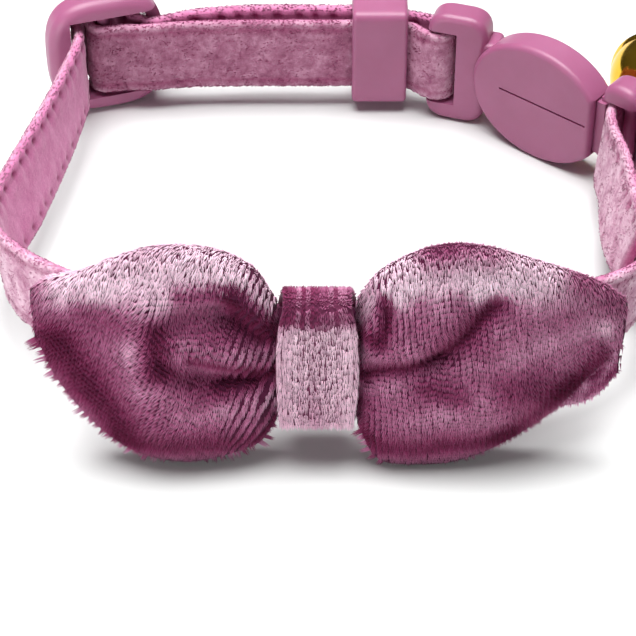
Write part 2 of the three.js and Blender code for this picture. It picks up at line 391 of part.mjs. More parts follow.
function bell() {
  const B = BELL, profile = [], inside = [], n = 10;
  for (let i = 0; i <= n; i++) {
    const t = -Math.PI / 2 + Math.PI * i / n, r = B.radius;
    if (i === n / 2) profile.push(new THREE.Vector2(r, -B.flangeHalf), new THREE.Vector2(r + B.flange, -B.flangeHalf * 0.5), new THREE.Vector2(r + B.flange, B.flangeHalf * 0.5), new THREE.Vector2(r, B.flangeHalf));
    else profile.push(new THREE.Vector2(i === 0 || i === n ? 0 : r * Math.cos(t), r * Math.sin(t)));
    inside.push(new THREE.Vector2(i === 0 || i === n ? 0 : (r - B.wall) * Math.cos(t), (r - B.wall) * Math.sin(t)));
  }
  let made = solid(new THREE.LatheGeometry(profile, 20)).subtract(solid(new THREE.LatheGeometry(inside, 20)));
  // the axis is Y: the shank at +Y, the slot across -Y
  made = made.subtract(solid(box(-B.slotWide / 2, B.slotWide / 2, -B.radius - 1, -2.4, -B.slotReach, B.slotReach)));
  for (const s of [-1, 1]) made = made.subtract(solid(new THREE.CylinderGeometry(B.slotHole, B.slotHole, 5, 14).translate(0, -B.radius + 0.9, s * B.slotReach * 0.8)));
  const eye = solid(new THREE.TorusGeometry(B.shank, B.shankWire, 8, 18).translate(0, B.radius + B.shank * 0.85, 0)).subtract(solid(new THREE.SphereGeometry(B.radius - B.wall / 2, 20, 10)));
  const g = geometryOf(made.add(eye));
  // Y to the eye, Z (the shank's hole) as near upright as that allows
  const Y = TO_EYE.clone(), Z = new THREE.Vector3(0, 0, 1).addScaledVector(Y, -Y.z).normalize(), X = new THREE.Vector3().crossVectors(Y, Z);
  return g.applyMatrix4(new THREE.Matrix4().makeBasis(X, Y, Z).setPosition(BELL_AT));
}
function ring() {
  const mid = EYE_AT.clone().addScaledVector(TO_EYE, -RING.radius);
  const X = TO_EYE.clone(), Y = new THREE.Vector3(0, 0, 1).addScaledVector(X, -X.z).normalize(), Z = new THREE.Vector3().crossVectors(X, Y);
  return bare(new THREE.TorusGeometry(RING.radius, RING.wire, 8, 28)).applyMatrix4(new THREE.Matrix4().makeBasis(X, Y, Z).setPosition(mid));
}

// ---------------------------------------------------------------- the collar
const collar = new THREE.Group();
const pieces = [
  ['strap', tape(), VELVET], ['slider', slider(), PLASTIC], ['keeper_loop', keeper(), PLASTIC],
  ['buckle_socket', socket(), PLASTIC], ['buckle_plug', plug(), PLASTIC],
  ['bow', bow(), VELVET], ['bow_band', band(), VELVET_DARK], ['bell', bell(), BRASS], ['bell_ring', ring(), BRASS],
];
const bounds = new THREE.Box3();
for (const [name, geometry, material] of pieces) {
  const mesh = new THREE.Mesh(geometry, material);
  mesh.name = name;
  geometry.computeBoundingBox();
  bounds.union(geometry.boundingBox);
  collar.add(mesh);
}
// The origin is the middle of the collar's box, on the table.
collar.position.set(-(bounds.min.x + bounds.max.x) / 2, -(bounds.min.y + bounds.max.y) / 2, -bounds.min.z);

export default collar;
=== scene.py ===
"""Breakaway cat collar: velvet tape, moulded fittings, folded velvet bow and a small round bell.
Lengths below are millimetres in the drawing frame of the collar, moved by OFF and turned into metres when a mesh is made."""
import bpy, bmesh, math
import numpy as np
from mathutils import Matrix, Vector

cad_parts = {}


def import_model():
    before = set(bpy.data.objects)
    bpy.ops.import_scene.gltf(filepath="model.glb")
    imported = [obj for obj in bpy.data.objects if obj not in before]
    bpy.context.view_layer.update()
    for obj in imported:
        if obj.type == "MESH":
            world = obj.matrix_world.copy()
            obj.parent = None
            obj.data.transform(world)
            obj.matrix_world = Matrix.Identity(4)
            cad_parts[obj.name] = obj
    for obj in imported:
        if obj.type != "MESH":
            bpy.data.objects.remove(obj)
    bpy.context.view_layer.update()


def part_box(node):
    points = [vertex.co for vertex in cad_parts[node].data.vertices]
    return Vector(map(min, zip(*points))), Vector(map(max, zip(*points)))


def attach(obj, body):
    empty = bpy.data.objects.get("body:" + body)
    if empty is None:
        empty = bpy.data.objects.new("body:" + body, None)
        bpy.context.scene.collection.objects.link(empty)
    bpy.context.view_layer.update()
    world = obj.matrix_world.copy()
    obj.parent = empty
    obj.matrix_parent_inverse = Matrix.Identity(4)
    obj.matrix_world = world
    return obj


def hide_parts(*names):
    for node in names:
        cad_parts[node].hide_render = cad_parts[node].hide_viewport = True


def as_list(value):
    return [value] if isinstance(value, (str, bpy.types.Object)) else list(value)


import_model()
OFF = np.array(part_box("keeper_loop")[0]) * 1000 - np.array([4.4, 64.65, 1.4])
rng = np.random.default_rng(11)
rad = math.radians

# ------------------------------------------------------------------ camera, floor and light
CAM = dict(elevation=41.0, lens=124.53, target=(0.0, -1.0, 21.5), distance=225.0)


def place(p):
    return (np.asarray(p, float) + OFF) * 0.001


def add_camera():
    e = rad(CAM["elevation"])
    forward = np.array([0, math.cos(e), -math.sin(e)])
    data = bpy.data.cameras.new("camera")
    data.lens, data.sensor_width, data.sensor_fit = CAM["lens"], 36.0, "HORIZONTAL"
    data.clip_start, data.clip_end = 0.005, 20
    cam = bpy.data.objects.new("camera", data)
    cam.location = place(np.array(CAM["target"]) - forward * CAM["distance"])
    cam.rotation_euler = (rad(90 - CAM["elevation"]), 0, 0)
    bpy.context.scene.collection.objects.link(cam)
    bpy.context.scene.camera = cam


def add_light(name, at, aim, size, power, colour=(1, 1, 1)):
    data = bpy.data.lights.new(name, "AREA")
    data.shape, data.size, data.energy, data.color = "DISK", size, power, colour
    lamp = bpy.data.objects.new(name, data)
    lamp.location = place(at)
    way = np.array(aim, float) - np.array(at, float)
    lamp.rotation_euler = (math.atan2(math.hypot(way[0], way[1]), -way[2]), 0, math.atan2(way[1], way[0]) - math.pi / 2)
    bpy.context.scene.collection.objects.link(lamp)
    return lamp


def node(tree, kind, at=(0, 0), **props):
    n = tree.nodes.new(kind)
    n.location = at
    for k, v in props.items():
        if hasattr(n, k):
            setattr(n, k, v)
        else:
            n.inputs[k.replace("_", " ")].default_value = v
    return n


def ramp(tree, stops, source):
    r = tree.nodes.new("ShaderNodeValToRGB")
    els = r.color_ramp.elements
    while len(els) < len(stops):
        els.new(0.5)
    for el, (pos, col) in zip(els, stops):
        el.position, el.color = pos, (*col, 1)
    tree.links.new(source, r.inputs[0])
    return r.outputs[0]


def add_world():
    world = bpy.data.worlds.new("studio")
    world.use_nodes = True
    t = world.node_tree
    t.nodes.clear()
    co = t.nodes.new("ShaderNodeTexCoord")
    sep = t.nodes.new("ShaderNodeSeparateXYZ")
    t.links.new(co.outputs["Generated"], sep.inputs[0])
    # a studio: soft light overhead, darker walls
    col = ramp(t, [(0.0, (0.62, 0.62, 0.64)), (0.12, (0.70, 0.70, 0.72)), (0.45, (1.0, 1.0, 1.0)), (1.0, (1.25, 1.25, 1.25))], sep.outputs["Z"])
    bg = node(t, "ShaderNodeBackground", Strength=0.10)
    pale = node(t, "ShaderNodeBackground", Strength=1.0)
    pale.inputs[0].default_value = (1.0, 1.0, 1.0, 1)
    both = t.nodes.new("ShaderNodeMixShader")
    path = t.nodes.new("ShaderNodeLightPath")
    t.links.new(path.outputs["Is Camera Ray"], both.inputs[0])
    t.links.new(bg.outputs[0], both.inputs[1])
    t.links.new(pale.outputs[0], both.inputs[2])
    out = t.nodes.new("ShaderNodeOutputWorld")
    t.links.new(col, bg.inputs[0])
    t.links.new(both.outputs[0], out.inputs[0])
    bpy.context.scene.world = world


# ------------------------------------------------------------------ materials
def new_material(name):
    m = bpy.data.materials.new(name)
    m.use_nodes = True
    t = m.node_tree
    return m, t, t.nodes["Principled BSDF"]


def mix(tree, a, b, factor, kind="MIX"):
    n = tree.nodes.new("ShaderNodeMix")
    n.data_type, n.blend_type = "RGBA", kind
    for sock, v in ((n.inputs[6], a), (n.inputs[7], b), (n.inputs[0], factor)):
        if hasattr(v, "is_linked") or hasattr(v, "links"):
            tree.links.new(v, sock)
        elif isinstance(v, (int, float)):
            sock.default_value = v
        else:
            sock.default_value = (*v, 1)
    return n.outputs[2]


def maths(tree, op, a, b=0.0, clamp=False):
    n = tree.nodes.new("ShaderNodeMath")
    n.operation, n.use_clamp = op, clamp
    for sock, v in ((n.inputs[0], a), (n.inputs[1], b)):
        if hasattr(v, "links"):
            tree.links.new(v, sock)
        else:
            sock.default_value = v
    return n.outputs[0]


def noise(tree, scale, detail=3.0, rough=0.5, source=None):
    n = tree.nodes.new("ShaderNodeTexNoise")
    n.inputs["Scale"].default_value, n.inputs["Detail"].default_value, n.inputs["Roughness"].default_value = scale, detail, rough
    if source is None:
        co = tree.nodes.new("ShaderNodeTexCoord")
        source = co.outputs["Object"]
    tree.links.new(source, n.inputs["Vector"])
    return n.outputs["Fac"]


def bump(tree, bsdf, height, distance, strength=1.0):
    b = tree.nodes.new("ShaderNodeBump")
    b.inputs["Distance"].default_value, b.inputs["Strength"].default_value = distance, strength
    tree.links.new(height, b.inputs["Height"])
    tree.links.new(b.outputs[0], bsdf.inputs["Normal"])


def plastic(name="mauve_plastic"):
    """Satin moulded plastic: fine moulding texture, faint flow marks, rubbed lighter spots."""
    m, t, b = new_material(name)
    cloud, fine = noise(t, 90, 4, 0.55), noise(t, 2600, 2, 0.6)
    b.inputs["Base Color"].default_value = (0.47, 0.17, 0.30, 1)
    t.links.new(ramp(t, [(0.3, (0.325, 0.090, 0.190)), (0.7, (0.375, 0.118, 0.232))], cloud), b.inputs["Base Color"])
    t.links.new(ramp(t, [(0.3, (0.36,) * 3), (0.7, (0.48,) * 3)], cloud), b.inputs["Roughness"])
    b.inputs["Subsurface Weight"].default_value = 0.30
    b.inputs["Subsurface Radius"].default_value = (0.0022, 0.0007, 0.0010)
    b.inputs["Specular IOR Level"].default_value = 0.5
    bump(t, b, maths(t, "ADD", maths(t, "MULTIPLY", fine, 0.6), cloud), 0.00003, 0.6)
    return m


def gold(name="gold_metal"):
    m, t, b = new_material(name)
    cloud = noise(t, 260, 3, 0.6)
    t.links.new(ramp(t, [(0.3, (0.80, 0.44, 0.035)), (0.7, (0.93, 0.58, 0.06))], cloud), b.inputs["Base Color"])
    b.inputs["Metallic"].default_value = 1.0
    t.links.new(ramp(t, [(0.3, (0.10,) * 3), (0.75, (0.20,) * 3)], noise(t, 700, 2, 0.5)), b.inputs["Roughness"])
    bump(t, b, cloud, 0.00002, 0.3)
    return m


def pile_material(name, root, mid, tip, sheen=0.05):
    """Strands of pile. The 'pile' colour holds: red the place along the strand, painted darker towards the root as
    shade inside the pile; green a random share; blue the painted light level, from painted shade at 0 to painted
    highlight at 1.
    """
    m, t, b = new_material(name)
    at = node(t, "ShaderNodeAttribute", attribute_name="pile")
    sep = t.nodes.new("ShaderNodeSeparateColor")
    t.links.new(at.outputs["Color"], sep.inputs[0])
    # painted shade: dark at the root, light at the tip
    along = ramp(t, [(0.0, root), (0.38, mid), (0.85, tip)], sep.outputs["Red"])
    # painted light: dark magenta where shaded, up to brighter than white where highlighted
    painted_light = ramp(t, [(0.0, (0.19, 0.028, 0.090)), (0.22, (0.36, 0.095, 0.21)), (0.42, (0.56, 0.27, 0.42)), (0.6, (0.78, 0.56, 0.68)), (0.8, (1.0, 0.92, 0.96)), (1.0, (1.25, 1.30, 1.27))], sep.outputs["Blue"])
    var = ramp(t, [(0.0, (0.62, 0.55, 0.59)), (0.5, (0.94, 0.93, 0.94)), (1.0, (1.22, 1.24, 1.23))], sep.outputs["Green"])
    t.links.new(mix(t, mix(t, along, painted_light, 1.0, "MULTIPLY"), var, 1.0, "MULTIPLY"), b.inputs["Base Color"])
    b.inputs["Roughness"].default_value = 0.5
    b.inputs["Specular IOR Level"].default_value = 0.08
    b.inputs["Sheen Weight"].default_value = sheen
    b.inputs["Sheen Roughness"].default_value = 0.35
    b.inputs["Sheen Tint"].default_value = (1.0, 0.86, 0.93, 1)
    return m


def ground_material(name, dark, light, scale=1500):
    """The woven ground that the pile stands on, painted far darker than the pile as the shade between its strands."""
    m, t, b = new_material(name)
    f = noise(t, scale, 3, 0.6)
    t.links.new(ramp(t, [(0.3, dark), (0.75, light)], f), b.inputs["Base Color"])
    b.inputs["Roughness"].default_value = 0.9
    b.inputs["Specular IOR Level"].default_value = 0.1
    b.inputs["Sheen Weight"].default_value = 0.05
    bump(t, b, f, 0.0001, 0.7)
    return m


def tape_material(name="velvet_tape"):
    """The tape. The 'tape' colour holds: red the pile side, green the painted light level (painted shade on the back
    layers, painted highlight along the rounded edges), blue how deep it is pressed, painted darker there as shade.
    """
    m, t, b = new_material(name)
    at = node(t, "ShaderNodeAttribute", attribute_name="tape")
    sep = t.nodes.new("ShaderNodeSeparateColor")
    t.links.new(at.outputs["Color"], sep.inputs[0])
    cloud, small, fine = noise(t, 420, 5, 0.62), noise(t, 1500, 3, 0.6), noise(t, 5200, 2, 0.7)
    nap = maths(t, "ADD", maths(t, "MULTIPLY", cloud, 0.65), maths(t, "MULTIPLY", small, 0.35))
    # shaded and lit copies of the pile side, then of the plain side, mixed by the painted light level
    dark = ramp(t, [(0.36, (0.20, 0.040, 0.100)), (0.5, (0.31, 0.088, 0.175)), (0.64, (0.46, 0.18, 0.30))], nap)
    light = ramp(t, [(0.34, (0.36, 0.125, 0.225)), (0.47, (0.58, 0.31, 0.43)), (0.62, (0.74, 0.52, 0.62))], nap)
    pile = mix(t, dark, light, sep.outputs["Green"])
    plain_side_shaded = ramp(t, [(0.3, (0.36, 0.090, 0.20)), (0.7, (0.48, 0.15, 0.29))], nap)
    plain_side_lit = ramp(t, [(0.3, (0.60, 0.165, 0.36)), (0.7, (0.76, 0.28, 0.51))], nap)
    back = mix(t, plain_side_shaded, plain_side_lit, sep.outputs["Green"])
    base = mix(t, back, pile, sep.outputs["Red"])
    # painted shade in the stitch dimples and pressed grooves
    pressed = mix(t, base, (0.28, 0.022, 0.115), sep.outputs["Blue"])
    t.links.new(mix(t, pressed, ramp(t, [(0.25, (0.86, 0.84, 0.85)), (0.8, (1.1, 1.1, 1.1))], fine), 1.0, "MULTIPLY"), b.inputs["Base Color"])
    b.inputs["Roughness"].default_value = 0.75
    b.inputs["Specular IOR Level"].default_value = 0.25
    b.inputs["Sheen Weight"].default_value = 0.28
    b.inputs["Sheen Roughness"].default_value = 0.4
    b.inputs["Sheen Tint"].default_value = (1.0, 0.88, 0.94, 1)
    bump(t, b, maths(t, "ADD", maths(t, "MULTIPLY", fine, 0.5), small), 0.00012, 0.8)
    return m


# ------------------------------------------------------------------ mesh helpers
def make(name, verts, faces, material, replaces=(), smooth=True, colour=None):
    """verts in drawing millimetres, faces a list, or arrays of triangles and quads."""
    mesh = bpy.data.meshes.new(name)
    v = (np.asarray(verts, float) + OFF) * 0.001
    if isinstance(faces, list):
        mesh.from_pydata(v.tolist(), [], [tuple(int(i) for i in f) for f in faces])
    else:
        arrays = faces if isinstance(faces, tuple) else (faces,)
        arrays = [a for a in arrays if len(a)]
        loops = np.concatenate([a.ravel() for a in arrays]).astype(np.int32)
        sizes = np.concatenate([np.full(len(a), a.shape[1]) for a in arrays])
        mesh.vertices.add(len(v)); mesh.vertices.foreach_set("co", v.astype(np.float32).ravel())
        mesh.loops.add(len(loops)); mesh.loops.foreach_set("vertex_index", loops)
        mesh.polygons.add(len(sizes))
        mesh.polygons.foreach_set("loop_start", np.concatenate([[0], np.cumsum(sizes)[:-1]]).astype(np.int32))
        mesh.update(calc_edges=True)
    if colour is not None:
        for key, values in colour.items():
            layer = mesh.color_attributes.new(key, "FLOAT_COLOR", "POINT")
            rgba = np.ones((len(v), 4), np.float32); rgba[:, :3] = values
            layer.data.foreach_set("color", rgba.ravel())
    mesh.polygons.foreach_set("use_smooth", np.full(len(mesh.polygons), smooth))
    mesh.materials.append(material)
    mesh.validate()
    obj = bpy.data.objects.new(name, mesh)
    bpy.context.scene.collection.objects.link(obj)
    if replaces:
        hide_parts(*replaces)
    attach(obj, "root")
    return obj


def unit(v):
    return v / np.maximum(np.linalg.norm(v, axis=-1, keepdims=True), 1e-12)


def smoothstep(a, b, x):
    t = np.clip((x - a) / (b - a), 0, 1)
    return t * t * (3 - 2 * t)


def strands(name, roots, normal, flow, lean, length, width, painted_light, material, seed, per=5, span=0.40, loose=0.03, fan=0.10, vary=0.35, dome=0.0, slip=None):
    """Pile: brushes of thin strands side by side. Each starts at its root, and leans along flow by lean (0 upright, 1
    flat).
    The 'pile' colour holds the place along the strand, a random share and the painted light level."""
    r = np.random.default_rng(seed)
    n = len(roots)
    def each(v):
        v = np.asarray(v, float)
        return np.repeat(np.broadcast_to(v, (n,) + v.shape[1:] if v.ndim else (n,)), per, axis=0)
    across = unit(np.cross(normal, flow))
    root, N, F, A = each(roots), each(normal), each(flow), each(across)
    L, W, S, painted_light = each(length) * r.uniform(0.86, 1.1, n * per), each(width) * r.uniform(0.9, 1.1, n * per), each(lean), each(painted_light)
    q = np.tile((np.arange(per) / max(per - 1, 1) - 0.5) if per > 1 else np.zeros(1), n)[:, None]
    turn = np.repeat(r.normal(0, 0.07, (n, 1)), per, axis=0)
    L = L * (1 - dome * np.abs(2 * q[:, 0]) ** 2)                # brushes with rounded ends leave small holes at their corners
    root = root + A * (q * each(np.full(n, span))[:, None] + r.normal(0, loose * 0.5, (n * per, 1))) + F * (r.normal(0, 1, (n * per, 1)) * each(np.full(n, loose if slip is None else slip))[:, None] - np.abs(q) * 0.06)
    tilt = A * (q * 2 * fan + turn + r.normal(0, 0.05, (n * per, 1)))
    S1, S2 = S[:, None] * 0.82, np.minimum(S[:, None] * 1.06, 0.90)
    d1 = unit(N * (1 - S1) + F * S1 + tilt * 0.6)
    d2 = unit(N * (1 - S2) + F * S2 + tilt * 1.2)
    tip = root + d1 * (L * 0.42)[:, None] + d2 * (L * 0.58)[:, None]
    x = unit(A - d1 * (A * d1).sum(1, keepdims=True)); y = unit(np.cross(d1, x))
    verts = np.empty((n * per, 4, 3))
    for k in range(3):
        c, s = math.cos(2 * math.pi * k / 3 + 0.5), math.sin(2 * math.pi * k / 3 + 0.5)
        side = (x * c + y * s) * (W * 0.5)[:, None]
        verts[:, k] = root + side * 1.5
    verts[:, 3] = tip
    base = (np.arange(n * per) * 4)[:, None]
    tris = np.concatenate([base + np.array([[k, (k + 1) % 3, 3]]) for k in range(3)])      # the foot is inside the cloth and stays open
    tone = np.empty((n * per, 4, 3))
    tone[:, :3, 0], tone[:, 3, 0] = (0.12 + 0.56 * smoothstep(0.3, 1.0, painted_light))[:, None], 1.0      # roots painted dark as shade inside the pile, less so where the painted light level is high
    tone[:, :, 1] = (0.5 + vary * (np.repeat(r.uniform(-1, 1, n), per) * 0.6 + r.uniform(-1, 1, n * per) * 0.6))[:, None]
    tone[:, :, 2] = painted_light[:, None]
    return make(name, verts.reshape(-1, 3), (tris,), material, colour={"pile": np.clip(tone.reshape(-1, 3), 0, 1)})


# ------------------------------------------------------------------ the tape (same route as the frame's strap)
BUCKLE = dict(z=8.0, x=29.1, y=56.3, turn=-40.0, mid=-0.8, half_long=9.9, half_tall=8.0, end=7.6, thick=4.4)
SOCKET_FRAME = dict(x=14.45, y=66.0, turn=-18.0, bar=(0.1, 1.9), slot=(1.9, 3.95), long=7.9, half=7.9, corner=2.9)
PLUG_FRAME = dict(x=35.77, y=50.71, turn=-40.0, bar=(2.45, 4.15), slot=(0.5, 2.45), long=5.1, half=7.8, corner=2.4)
SLIDER = dict(x=-27.5, y=67.3, z=8.4, turn=18.0, half_long=7.7, half_tall=8.2, thick=4.4, open=5.95, slot_in=4.85, slot_out=5.5, bar=0.85, side=-0.15)
TAPE = dict(width=10.0, thick=1.4, wrap=1.9, slider_wrap=1.9, slider_pass=3.75)
TAIL = [(35.9, 24.0, 9.8, 19, 4.3), (35.4, 29.2, 9.3, 21, 4.3), (35.4, 34.5, 8.9, 20, 4.35), (35.5, 39.5, 8.6, 14, 4.4),
        (35.1, 44.0, 8.3, 8, 4.6), (35.2, 46.7, 8.1, 5, 4.8), (35.82, 48.4, 8.0, 2, 4.9)]
AROUND = [(40.2, 45.4, 8.1, 2), (39.2, 41.0, 8.5, 9), (38.0, 35.5, 9.0, 17), (37.5, 30.0, 9.5, 19),
          (37.8, 24.5, 10.0, 17), (37.2, 19.6, 10.4, 11), (34.8, 15.0, 10.8, 4), (30.0, 11.2, 11.2, -3),
          (22.0, 8.0, 11.6, -8), (12.0, 5.9, 11.7, -10.4), (4.0, 4.95, 11.7, -10.4), (-4.0, 4.95, 11.7, -10.4),
          (-12.0, 5.9, 11.7, -10.4), (-22.0, 9.6, 11.4, -7), (-29.0, 14.2, 10.6, -5), (-33.4, 18.7, 9.7, -3),
          (-36.2, 24.0, 9.0, 6), (-36.4, 30.0, 8.7, 14), (-35.0, 36.5, 8.5, 15), (-33.6, 43.0, 8.3, 12),
          (-32.2, 50.0, 8.1, 9), (-31.1, 56.5, 8.0, 7), (-30.4, 61.5, 8.0, 4)]
BACK_OUT = [(-15.5, 68.55, 8.6, 0), (-8.0, 69.0, 8.9, 0), (0.0, 69.0, 8.9, 0), (8.0, 68.8, 8.8, 0), (12.6, 68.25, 8.35, 0)]
BACK_IN = [(13.3, 64.95, 8, 0), (12.0, 66.25, 8, 0), (8.5, 66.85, 8, 0), (0.0, 66.85, 8, 0), (-8.0, 66.85, 8, 0), (-15.0, 66.7, 8, 0)]
CENTRE = (0.0, 34.0)


def plan(f, along, out):
    t = rad(f["turn"])
    return f["x"] + along * math.cos(t) - out * math.sin(t), f["y"] + along * math.sin(t) + out * math.cos(t)


def arc(cx, cy, r, a, b, step, z):
    n = round(abs(b - a) / step)
    return [(cx + r * math.cos(rad(a + (b - a) * i / n)), cy + r * math.sin(rad(a + (b - a) * i / n)), z, 0) for i in range(n + 1)]


def tape_rows():
    mx, my = plan(PLUG_FRAME, sum(PLUG_FRAME["bar"]) / 2, 0)
    fx, fy = plan(SOCKET_FRAME, sum(SOCKET_FRAME["bar"]) / 2, 0)
    at = lambda p, n: (*plan(SLIDER, p, n), 8.0, 0)
    polar = lambda r, d: at(r * math.cos(rad(d)), r * math.sin(rad(d)))
    P, Wr = TAPE["slider_pass"], TAPE["slider_wrap"]
    rows = [*TAIL, *arc(mx, my, TAPE["wrap"], PLUG_FRAME["turn"] + 190, PLUG_FRAME["turn"] + 35, 31, 8.0), *AROUND,
            at(-P, -2.0), *[polar(P, d) for d in (175, 145, 115, 85, 55)], at(3.7, 0.9), at(5.4, -1.45), at(8.4, -1.75),
            *BACK_OUT, *arc(fx, fy, TAPE["wrap"], SOCKET_FRAME["turn"] + 95, SOCKET_FRAME["turn"] - 85, 30, 8.0), *BACK_IN,
            at(7.6, -3.5), at(4.6, -3.05), at(2.2, -2.2), *[polar(Wr, d) for d in (-90, -120, -150, -180, -210, -240, -270, -300)]]
    return np.array([r if len(r) == 5 else (*r, TAPE["width"] / 2) for r in rows], float)


def route(rows, per=24):
    """Centripetal spline through the rows' first three columns, the rest carried linearly."""
    P, n = rows[:, :3], len(rows)
    out, rest = [], []
    for k in range(n - 1):
        p1, p2 = P[k], P[k + 1]
        p0 = P[k - 1] if k else 2 * P[0] - P[1]
        p3 = P[k + 2] if k + 2 < n else 2 * P[-1] - P[-2]
        d0, d1, d2 = (np.linalg.norm(b - a) ** 0.5 for a, b in ((p0, p1), (p1, p2), (p2, p3)))
        t1 = ((p1 - p0) / d0 - (p2 - p0) / (d0 + d1) + (p2 - p1) / d1) * d1
        t2 = ((p2 - p1) / d1 - (p3 - p1) / (d1 + d2) + (p3 - p2) / d2) * d1
        t = np.arange(per)[:, None] / per
        out.append(p1 + t1 * t + (-3 * p1 + 3 * p2 - 2 * t1 - t2) * t ** 2 + (2 * p1 - 2 * p2 + t1 + t2) * t ** 3)
        rest.append(rows[k, 3:] + (rows[k + 1, 3:] - rows[k, 3:]) * t)
    out.append(P[-1:]); rest.append(rows[-1:, 3:])
    return np.concatenate(out), np.concatenate(rest)


def tape_frames(step):
    P, rest = route(tape_rows())
    s = np.concatenate([[0], np.cumsum(np.linalg.norm(np.diff(P, axis=0), axis=1))])
    n = int(s[-1] / step)
    S = np.linspace(0, s[-1], n + 1)
    P = np.stack([np.interp(S, s, P[:, i]) for i in range(3)], 1)
    lean, half = np.interp(S, s, rest[:, 0]), np.interp(S, s, rest[:, 1])
    k = np.ones(5) / 5
    for a in (lean,):
        a[:] = np.convolve(np.pad(a, 2, "edge"), k, "valid")
    T = unit(np.gradient(P, axis=0))
    out = P - np.array([*CENTRE, 0]); out[:, 2] = 0; out = unit(out)
    up = np.array([0, 0, 1.0]) + out * np.tan(np.radians(lean))[:, None]
    up = unit(up - T * (up * T).sum(1, keepdims=True))
    return S, P, T, up, unit(np.cross(T, up)), half


def tape_painted_shade(P):
    """Painted light level along the tape: light at the front and on the tail, painted shade on the folded back layers,
    a little lighter on the outer back layer.
    """
    x, y = P[:, 0], P[:, 1]
    return np.clip(0.86 - 0.62 * smoothstep(60.0, 66.5, y) + 0.30 * smoothstep(67.6, 68.4, y) * smoothstep(-19.0, -14.0, x), 0, 1)


def strap_piece(material):
    """The tape: rounded edges, a stitched channel along each edge of its plain side with puffs between the stitches, and pressed lines on the pile side."""
    S, P, T, up, side, half = tape_frames(0.32)
    h = TAPE["thick"] / 2 - 0.06
    m, c = 15, 5                                   # points across a face, points round an edge
    us, vs, face = [], [], []
    for i in range(m):
        us.append((1 - 2 * i / (m - 1), 0)); vs.append(1); face.append(1)
    for i in range(1, c):
        a = math.pi * i / c
        us.append((-1, -math.sin(a))); vs.append(math.cos(a)); face.append(math.cos(a))
    for i in range(m):
        us.append((-1 + 2 * i / (m - 1), 0)); vs.append(-1); face.append(-1)
    for i in range(1, c):
        a = math.pi * i / c
        us.append((1, math.sin(a))); vs.append(-math.cos(a)); face.append(-math.cos(a))
    us, vs, face = np.array(us), np.array(vs), np.array(face)
    rnd = 0.55
    U = us[None, :, 0] * (half[:, None] - rnd) + us[None, :, 1] * rnd            # place across, in mm
    V = np.broadcast_to(vs * h, U.shape).copy()
    edge = half[:, None] - np.abs(U)                                             # distance from the nearest edge
    top = U > 0
    pitch = 2.5
    phase = (S[:, None] + 0.35 * np.sin(S[:, None] * 0.7)) / pitch
    beat = 0.5 + 0.5 * np.cos(2 * math.pi * phase)                               # 1 at a stitch
    plain = (face[None, :] > 0.9)
    pile = (face[None, :] < -0.9)
    row_top = np.exp(-((edge - 1.25) / 0.42) ** 2) * np.where(top, 1.0, 0.6)
    dimple = row_top * (0.08 + 0.34 * beat ** 4)
    puff = np.exp(-((edge - 2.4) / 1.0) ** 2) * np.where(top, 1, 0.6) * 0.13 * (1 - beat) + np.exp(-((edge - 0.45) / 0.5) ** 2) * 0.10 * (1 - beat)
    on_tail = smoothstep(27.5, 25.5, S)[:, None]
    groove = np.exp(-((edge - 1.2) / 0.22) ** 2) * 0.14 * (1 - on_tail) + row_top * np.where(top, 1, 0.5) * (0.05 + 0.36 * beat ** 5) * on_tail
    wob = 0.05 * np.sin(S[:, None] * 1.9 + U * 0.8) + 0.04 * np.sin(S[:, None] * 0.83 - U * 1.3)
    V = V + np.where(plain, puff - dimple + wob * 0.5, 0) - np.where(pile, wob * 0.6 - groove, 0)
    verts = P[:, None] + up[:, None] * U[..., None] + side[:, None] * V[..., None]
    n, k = U.shape
    i, j = np.meshgrid(np.arange(n - 1), np.arange(k), indexing="ij")
    a, b = i * k + j, i * k + (j + 1) % k
    quads = np.stack([a, b, b + k, a + k], -1).reshape(-1, 4)
    # painted shade in dimples and grooves by their depth; painted light level along the tape, with a painted highlight
    # on the rounded edges
    depth = np.where(plain, np.clip(dimple / 0.24, 0, 1), np.where(pile, np.clip(groove / 0.22, 0, 1) * 0.75, 0))
    tone = np.stack([np.broadcast_to(np.clip(0.5 - face * 0.7, 0, 1), U.shape), np.broadcast_to(tape_painted_shade(P)[:, None], U.shape) + 0.35 * np.exp(-(edge / 0.55) ** 2), depth], -1)
    faces = [tuple(q) for q in quads.tolist()] + [tuple(range(k))[::-1], tuple(((n - 1) * k + np.arange(k)).tolist())]
    obj = make("strap_tape", verts.reshape(-1, 3), faces, material, replaces=("strap",), colour={"tape": tone.reshape(-1, 3)})
    fix_normals(obj)
    return obj


def fix_normals(obj):
    bm = bmesh.new(); bm.from_mesh(obj.data)
    bmesh.ops.recalc_face_normals(bm, faces=bm.faces)
    bm.to_mesh(obj.data); bm.free(); obj.data.update()


